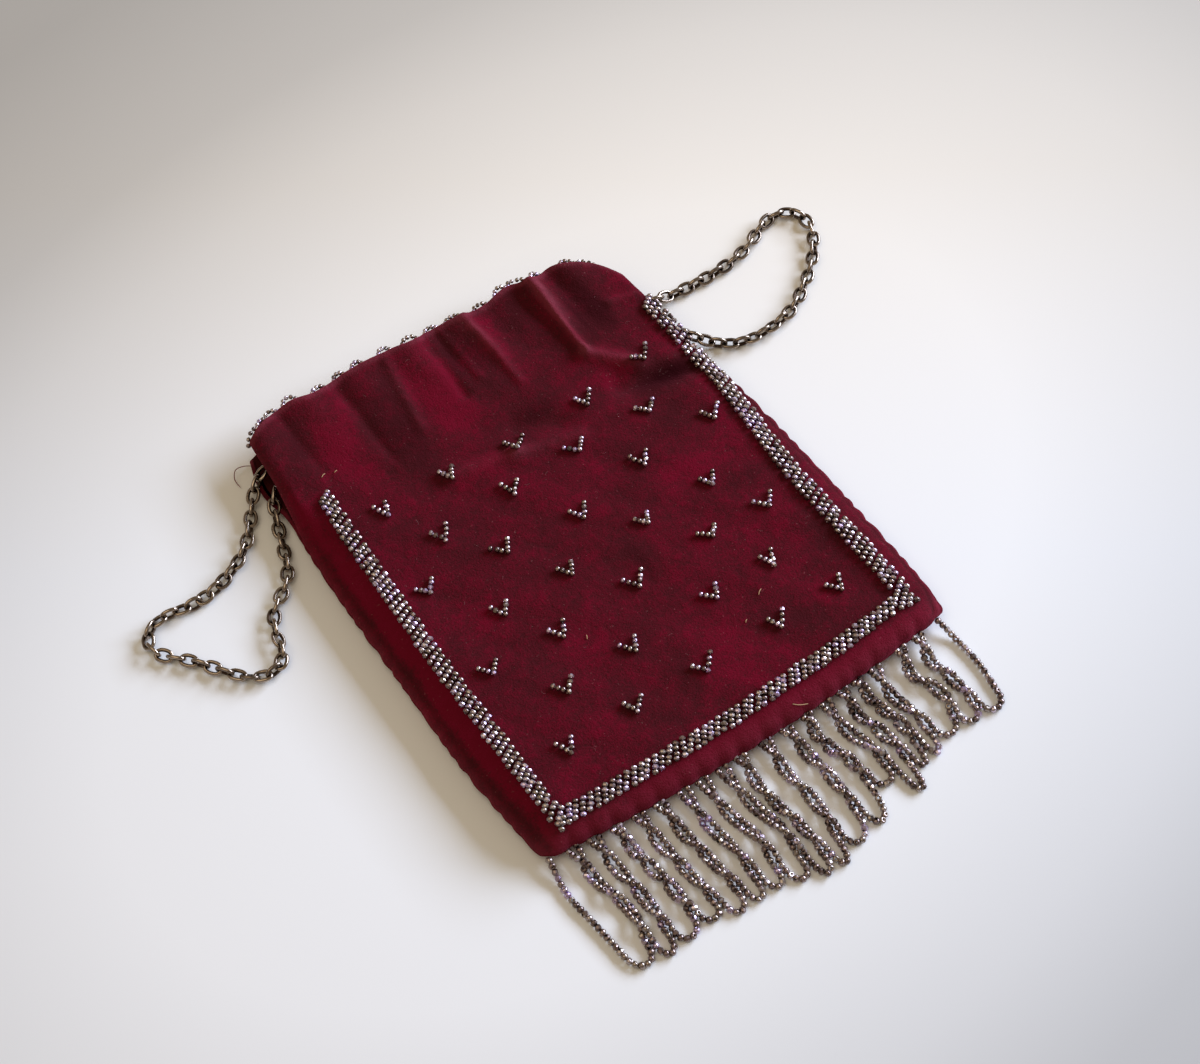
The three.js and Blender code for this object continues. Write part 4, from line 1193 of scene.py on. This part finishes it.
def link_ring(look):
    """One link: a circle of wire carried round an oval whose sides are straighter than an ellipse's."""
    t, angle = circle(RING_STEPS), circle(WIRE_SIDES)
    end, side = (look.link_length - look.wire) / 2, (look.link_width - look.wire) / 2
    path = np.stack([
        end * np.sign(np.cos(t)) * np.abs(np.cos(t)) ** LINK_POWER,
        side * np.sign(np.sin(t)) * np.abs(np.sin(t)) ** LINK_POWER, 0 * t,
    ], -1)
    tangent = unit(np.roll(path, -1, axis=0) - np.roll(path, 1, axis=0))
    outward = np.stack([tangent[:, 1], -tangent[:, 0], 0 * t], -1)
    section = np.cos(angle)[None, :, None] * outward[:, None] + np.sin(angle)[None, :, None] * UP
    points = path[:, None] + look.wire / 2 * section
    # How far each point faces the link's hole: where shade is painted.
    inner = np.broadcast_to(0.5 - 0.5 * np.cos(angle), points.shape[:2])
    return points.reshape(-1, 3), ring_quads(RING_STEPS, WIRE_SIDES), inner.ravel()


def chain_route(name):
    """A chain's route: its places on the table, with the heights of its first and last ones."""
    first, last, places = ROUTES[name]
    lying = [LYING_HEIGHT] * (len(places) - len(first) - len(last))
    return MM * np.column_stack([places, [*first, *lying, *last]])


def chain_piece(name, look):
    """A cable chain: links a pitch apart along the route, each turned a quarter from the last."""
    chance = np.random.default_rng(SEEDS[name])
    contacts, _ = spaced(route_line(chain_route(name)), look.pitch)
    centres = (contacts[1:] + contacts[:-1]) / 2
    along, level, upright = level_frame(np.diff(contacts, axis=0))
    count = len(centres)
    roll = LINK_ROLLS[np.arange(count) % 2] + chance.normal(0, LINK_ROLL_SPREAD, count)
    across = level * np.cos(roll)[:, None] + upright * np.sin(roll)[:, None]
    turns = np.stack([along, across, np.cross(along, across)], -1)
    points, quads, inner = link_ring(look)
    placed = np.einsum("nij,kj->nki", turns, points) + centres[:, None]
    placed[..., 2] += np.maximum(LINK_CLEARANCE - placed[..., 2].min(1), 0)[:, None]
    # Painted shade on each link's inner side, with grime that varies from link to link.
    grime_and_shade = np.clip(inner[None] + chance.normal(0, GRIME_AND_SHADE_SPREAD, (count, 1)), 0, 1)
    piece = copies(name, placed, quads, True, {"grime_and_shade": grime_and_shade})
    dress(piece, "tarnished_and_shaded_wire", look)
    return piece


def tubes(name, lines, radius, sides, attributes=None):
    """Round tubes along lines of points: a circle carried along each line, closing at both ends."""
    count, steps = lines.shape[:2]
    _, level, upright = level_frame(np.gradient(lines, axis=1))
    angle = circle(sides)
    section = np.cos(angle)[:, None] * level[:, :, None] + np.sin(angle)[:, None] * upright[:, :, None]
    girth = radius * np.sqrt(1 - np.linspace(-1, 1, steps) ** TUBE_POWER)
    points = lines[:, :, None] + girth[:, None, None] * section
    spread = {key: np.repeat(values, steps * sides) for key, values in (attributes or {}).items()}
    piece = copies(name, points.reshape(count, -1, 3), tube_quads(steps, sides), True, spread)
    close_doubles(piece)
    return piece


def thread_lines():
    """Loose threads: the curve through each thread's points, in equal steps."""
    lines = [route_line(MM * np.array(points)) for _, points in THREADS]
    return np.stack([line[np.linspace(0, len(line) - 1, THREAD_STEPS).astype(int)] for line in lines])


def lint_lines():
    """Lint: arcs of a circle laid on the front panel, humped a little over their middles."""
    chance = np.random.default_rng(SEEDS["lint"])
    column = (LINT_COUNT, 1)
    start = chance.uniform(*LINT_BOX, (LINT_COUNT, 2))
    step = chance.uniform(*LINT_LENGTHS, column) / LINT_STEPS
    share = np.linspace(0, 1, LINT_STEPS)
    turn = chance.uniform(0, 2 * np.pi, column) + chance.normal(0, LINT_CURL, column) * share
    x = start[:, :1] + np.cumsum(step * np.cos(turn), 1)
    y = start[:, 1:] + np.cumsum(step * np.sin(turn), 1)
    return on_front(x, y, LINT_LIFT * (1 + np.sin(np.pi * share)))


# Operators, one for each piece or group of like pieces.

class PURSE_OT_velvet(bpy.types.Operator):
    """Build the velvet bag: front and back panels sewn at three sides"""

    bl_idname = "purse.velvet"
    bl_label = "Velvet bag"

    def execute(self, context):
        look = context.scene.purse.velvet

        def front_wall(y):
            """Thickness of the front panel."""
            return lerp(look.wall, look.header_wall, header_share(y))

        def back_wall(y):
            """Thickness of the back panel."""
            return np.full_like(y, look.wall)

        panels = [
            panel_shell(front_height, front_inner_height, front_wall, *FRONT_GRID, -1, 0.0),
            panel_shell(back_height, back_inner_height, back_wall, *BACK_GRID, 1, FLARE),
        ]
        points = np.concatenate([shell.reshape(-1, 3) for shell, _ in panels])
        inside = np.concatenate([turn_cos.ravel() < INSIDE_TURN for _, turn_cos in panels])
        faces, start = [], 0
        for _, grid in panels:
            faces.append(tube_quads(*grid.shape) + start)
            start += grid.size
        bag = new_mesh("velvet_bag", points, np.concatenate(faces), True, {
            "nap_and_shade": nap_and_shade_tone(points[:, 0], points[:, 1]), "worn": wear_and_highlight_share(points), "inside": inside})
        close_doubles(bag)
        dress(bag, "burgundy_velvet", look)
        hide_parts("velvet_pouch")
        return {"FINISHED"}


class PURSE_OT_fibres(bpy.types.Operator):
    """Lay the loose threads and the lint on the velvet"""

    bl_idname = "purse.fibres"
    bl_label = "Loose fibres"

    def execute(self, context):
        look = context.scene.purse.velvet
        tone = np.array([float(colour == "worn") for colour, _ in THREADS])
        threads = tubes("loose_threads", thread_lines(), THREAD_RADIUS, THREAD_SIDES, {"tone": tone})
        dress(threads, "loose_thread", look)
        lint = tubes("lint", lint_lines(), LINT_RADIUS, LINT_SIDES)
        dress(lint, "lint", look)
        return {"FINISHED"}


class PURSE_OT_border(bpy.types.Operator):
    """Sew the bead border round three sides of the front panel"""

    bl_idname = "purse.border"
    bl_label = "Bead border"

    def execute(self, context):
        look = context.scene.purse.beads
        piece = sewn_piece("border_beads", *border_beads(look), look.sewn_diameter, look)
        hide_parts("bead_border")
        return {"FINISHED"}


class PURSE_OT_sprigs(bpy.types.Operator):
    """Sew the V-shaped bead sprigs over the front panel and the picots along the mouth"""

    bl_idname = "purse.sprigs"
    bl_label = "Sprigs and picots"

    def execute(self, context):
        look = context.scene.purse.beads
        sewn_piece("sprig_beads", *sprig_beads(), look.sprig_diameter, look)
        bead_piece("picot_beads", *picot_beads(), look.picot_diameter, look.sewn_pitch, SEWN_TONE, look)
        return {"FINISHED"}


class PURSE_OT_fringe(bpy.types.Operator):
    """String the looped bead fringe along the bottom seam"""

    bl_idname = "purse.fringe"
    bl_label = "Bead fringe"

    def execute(self, context):
        look = context.scene.purse.beads
        piece = bead_piece(
            "fringe_beads", *fringe_beads(look), look.strung_diameter, look.strung_pitch, STRUNG_TONE, look)
        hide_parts("bead_fringe")
        return {"FINISHED"}


class PURSE_OT_chains(bpy.types.Operator):
    """Link the two chain loops that leave the slits"""

    bl_idname = "purse.chains"
    bl_label = "Chain loops"

    def execute(self, context):
        look = context.scene.purse.chain
        for name, node in (("left_links", "chain_left"), ("right_links", "chain_right")):
            piece = chain_piece(name, look)
            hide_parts(node)
        return {"FINISHED"}


class PURSE_OT_stage(bpy.types.Operator):
    """Set the floor, the light and the camera"""

    bl_idname = "purse.stage"
    bl_label = "Stage"

    def execute(self, context):
        look, scene = context.scene.purse.stage, context.scene
        self.lay_floor(look)
        self.set_camera(scene, look)
        for name, power in (("window", look.key), ("lamp", look.fill)):
            self.hang_light(scene, name, power, camera_sides(look))
        world = bpy.data.worlds.new("room")
        world.use_nodes = True
        shade = world.node_tree.nodes["Background"]
        shade.inputs["Color"].default_value = ROOM_COLOUR
        shade.inputs["Strength"].default_value = look.room
        scene.world = world
        scene.view_settings.view_transform = "Standard"
        return {"FINISHED"}

    @staticmethod
    def lay_floor(look):
        """A flat square under the purse."""
        corners = FLOOR_REACH * np.array([(-1, -1, 0), (1, -1, 0), (1, 1, 0), (-1, 1, 0)])
        floor = new_mesh("floor", corners, np.array([[0, 1, 2, 3]]))
        paint(floor, "pale_floor", look)

    @staticmethod
    def set_camera(scene, look):
        """The photograph's camera: turned about Z, raised, and rolled about its own axis."""
        right, _ = camera_sides(look)
        level = math.cos(look.elevation)
        back = Vector((
            math.sin(look.azimuth) * level, -math.cos(look.azimuth) * level, math.sin(look.elevation)))
        up = back.cross(right)
        tilted_right = right * math.cos(look.roll) + up * math.sin(look.roll)
        tilted_up = up * math.cos(look.roll) - right * math.sin(look.roll)
        turn = Matrix((tilted_right, tilted_up, back)).transposed()
        lens = bpy.data.cameras.new("camera")
        lens.sensor_fit = "HORIZONTAL"
        lens.sensor_width = SENSOR_WIDTH
        lens.lens = look.lens
        lens.clip_start, lens.clip_end = CAMERA_CLIP
        camera = bpy.data.objects.new("camera", lens)
        camera.matrix_world = Matrix.Translation(turn @ -Vector(look.offset)) @ turn.to_4x4()
        scene.collection.objects.link(camera)
        scene.camera = camera

    @staticmethod
    def hang_light(scene, name, power, sides):
        """A light of that power, facing the purse."""
        size, (right, ahead, up), colour = LIGHTS[name]
        place = sides[0] * right + sides[1] * ahead + Vector((0, 0, up))
        lamp = bpy.data.lights.new(name, "AREA")
        lamp.energy = power
        lamp.shape = "RECTANGLE"
        lamp.size, lamp.size_y = size
        lamp.color = colour
        light = bpy.data.objects.new(name, lamp)
        light.location = place
        light.rotation_euler = (-place).to_track_quat("-Z", "Y").to_euler()
        scene.collection.objects.link(light)


class PURSE_PT_panel(bpy.types.Panel):
    """Lists the purse's pieces in the 3D view's sidebar"""

    bl_idname = "PURSE_PT_panel"
    bl_label = "Velvet purse"
    bl_space_type = "VIEW_3D"
    bl_region_type = "UI"
    bl_category = "Purse"

    def draw(self, context):
        for operator in OPERATORS:
            self.layout.operator(operator.bl_idname)


OPERATORS = (
    PURSE_OT_stage, PURSE_OT_velvet, PURSE_OT_fibres, PURSE_OT_border, PURSE_OT_sprigs, PURSE_OT_fringe,
    PURSE_OT_chains,
)
CLASSES = (VelvetLook, BeadLook, ChainLook, StageLook, PurseLook, *OPERATORS, PURSE_PT_panel)


def register():
    """Registers the classes and hangs the settings on the scene."""
    for each in CLASSES:
        bpy.utils.register_class(each)
    bpy.types.Scene.purse = PointerProperty(type=PurseLook)


def unregister():
    """Takes the settings and the classes away again."""
    del bpy.types.Scene.purse
    for each in reversed(CLASSES):
        bpy.utils.unregister_class(each)


def main():
    """Builds the stage and every piece."""
    register()
    bpy.ops.purse.stage()
    bpy.ops.purse.velvet()
    bpy.ops.purse.fibres()
    bpy.ops.purse.border()
    bpy.ops.purse.sprigs()
    bpy.ops.purse.fringe()
    bpy.ops.purse.chains()


if __name__ == "__main__":
    main()
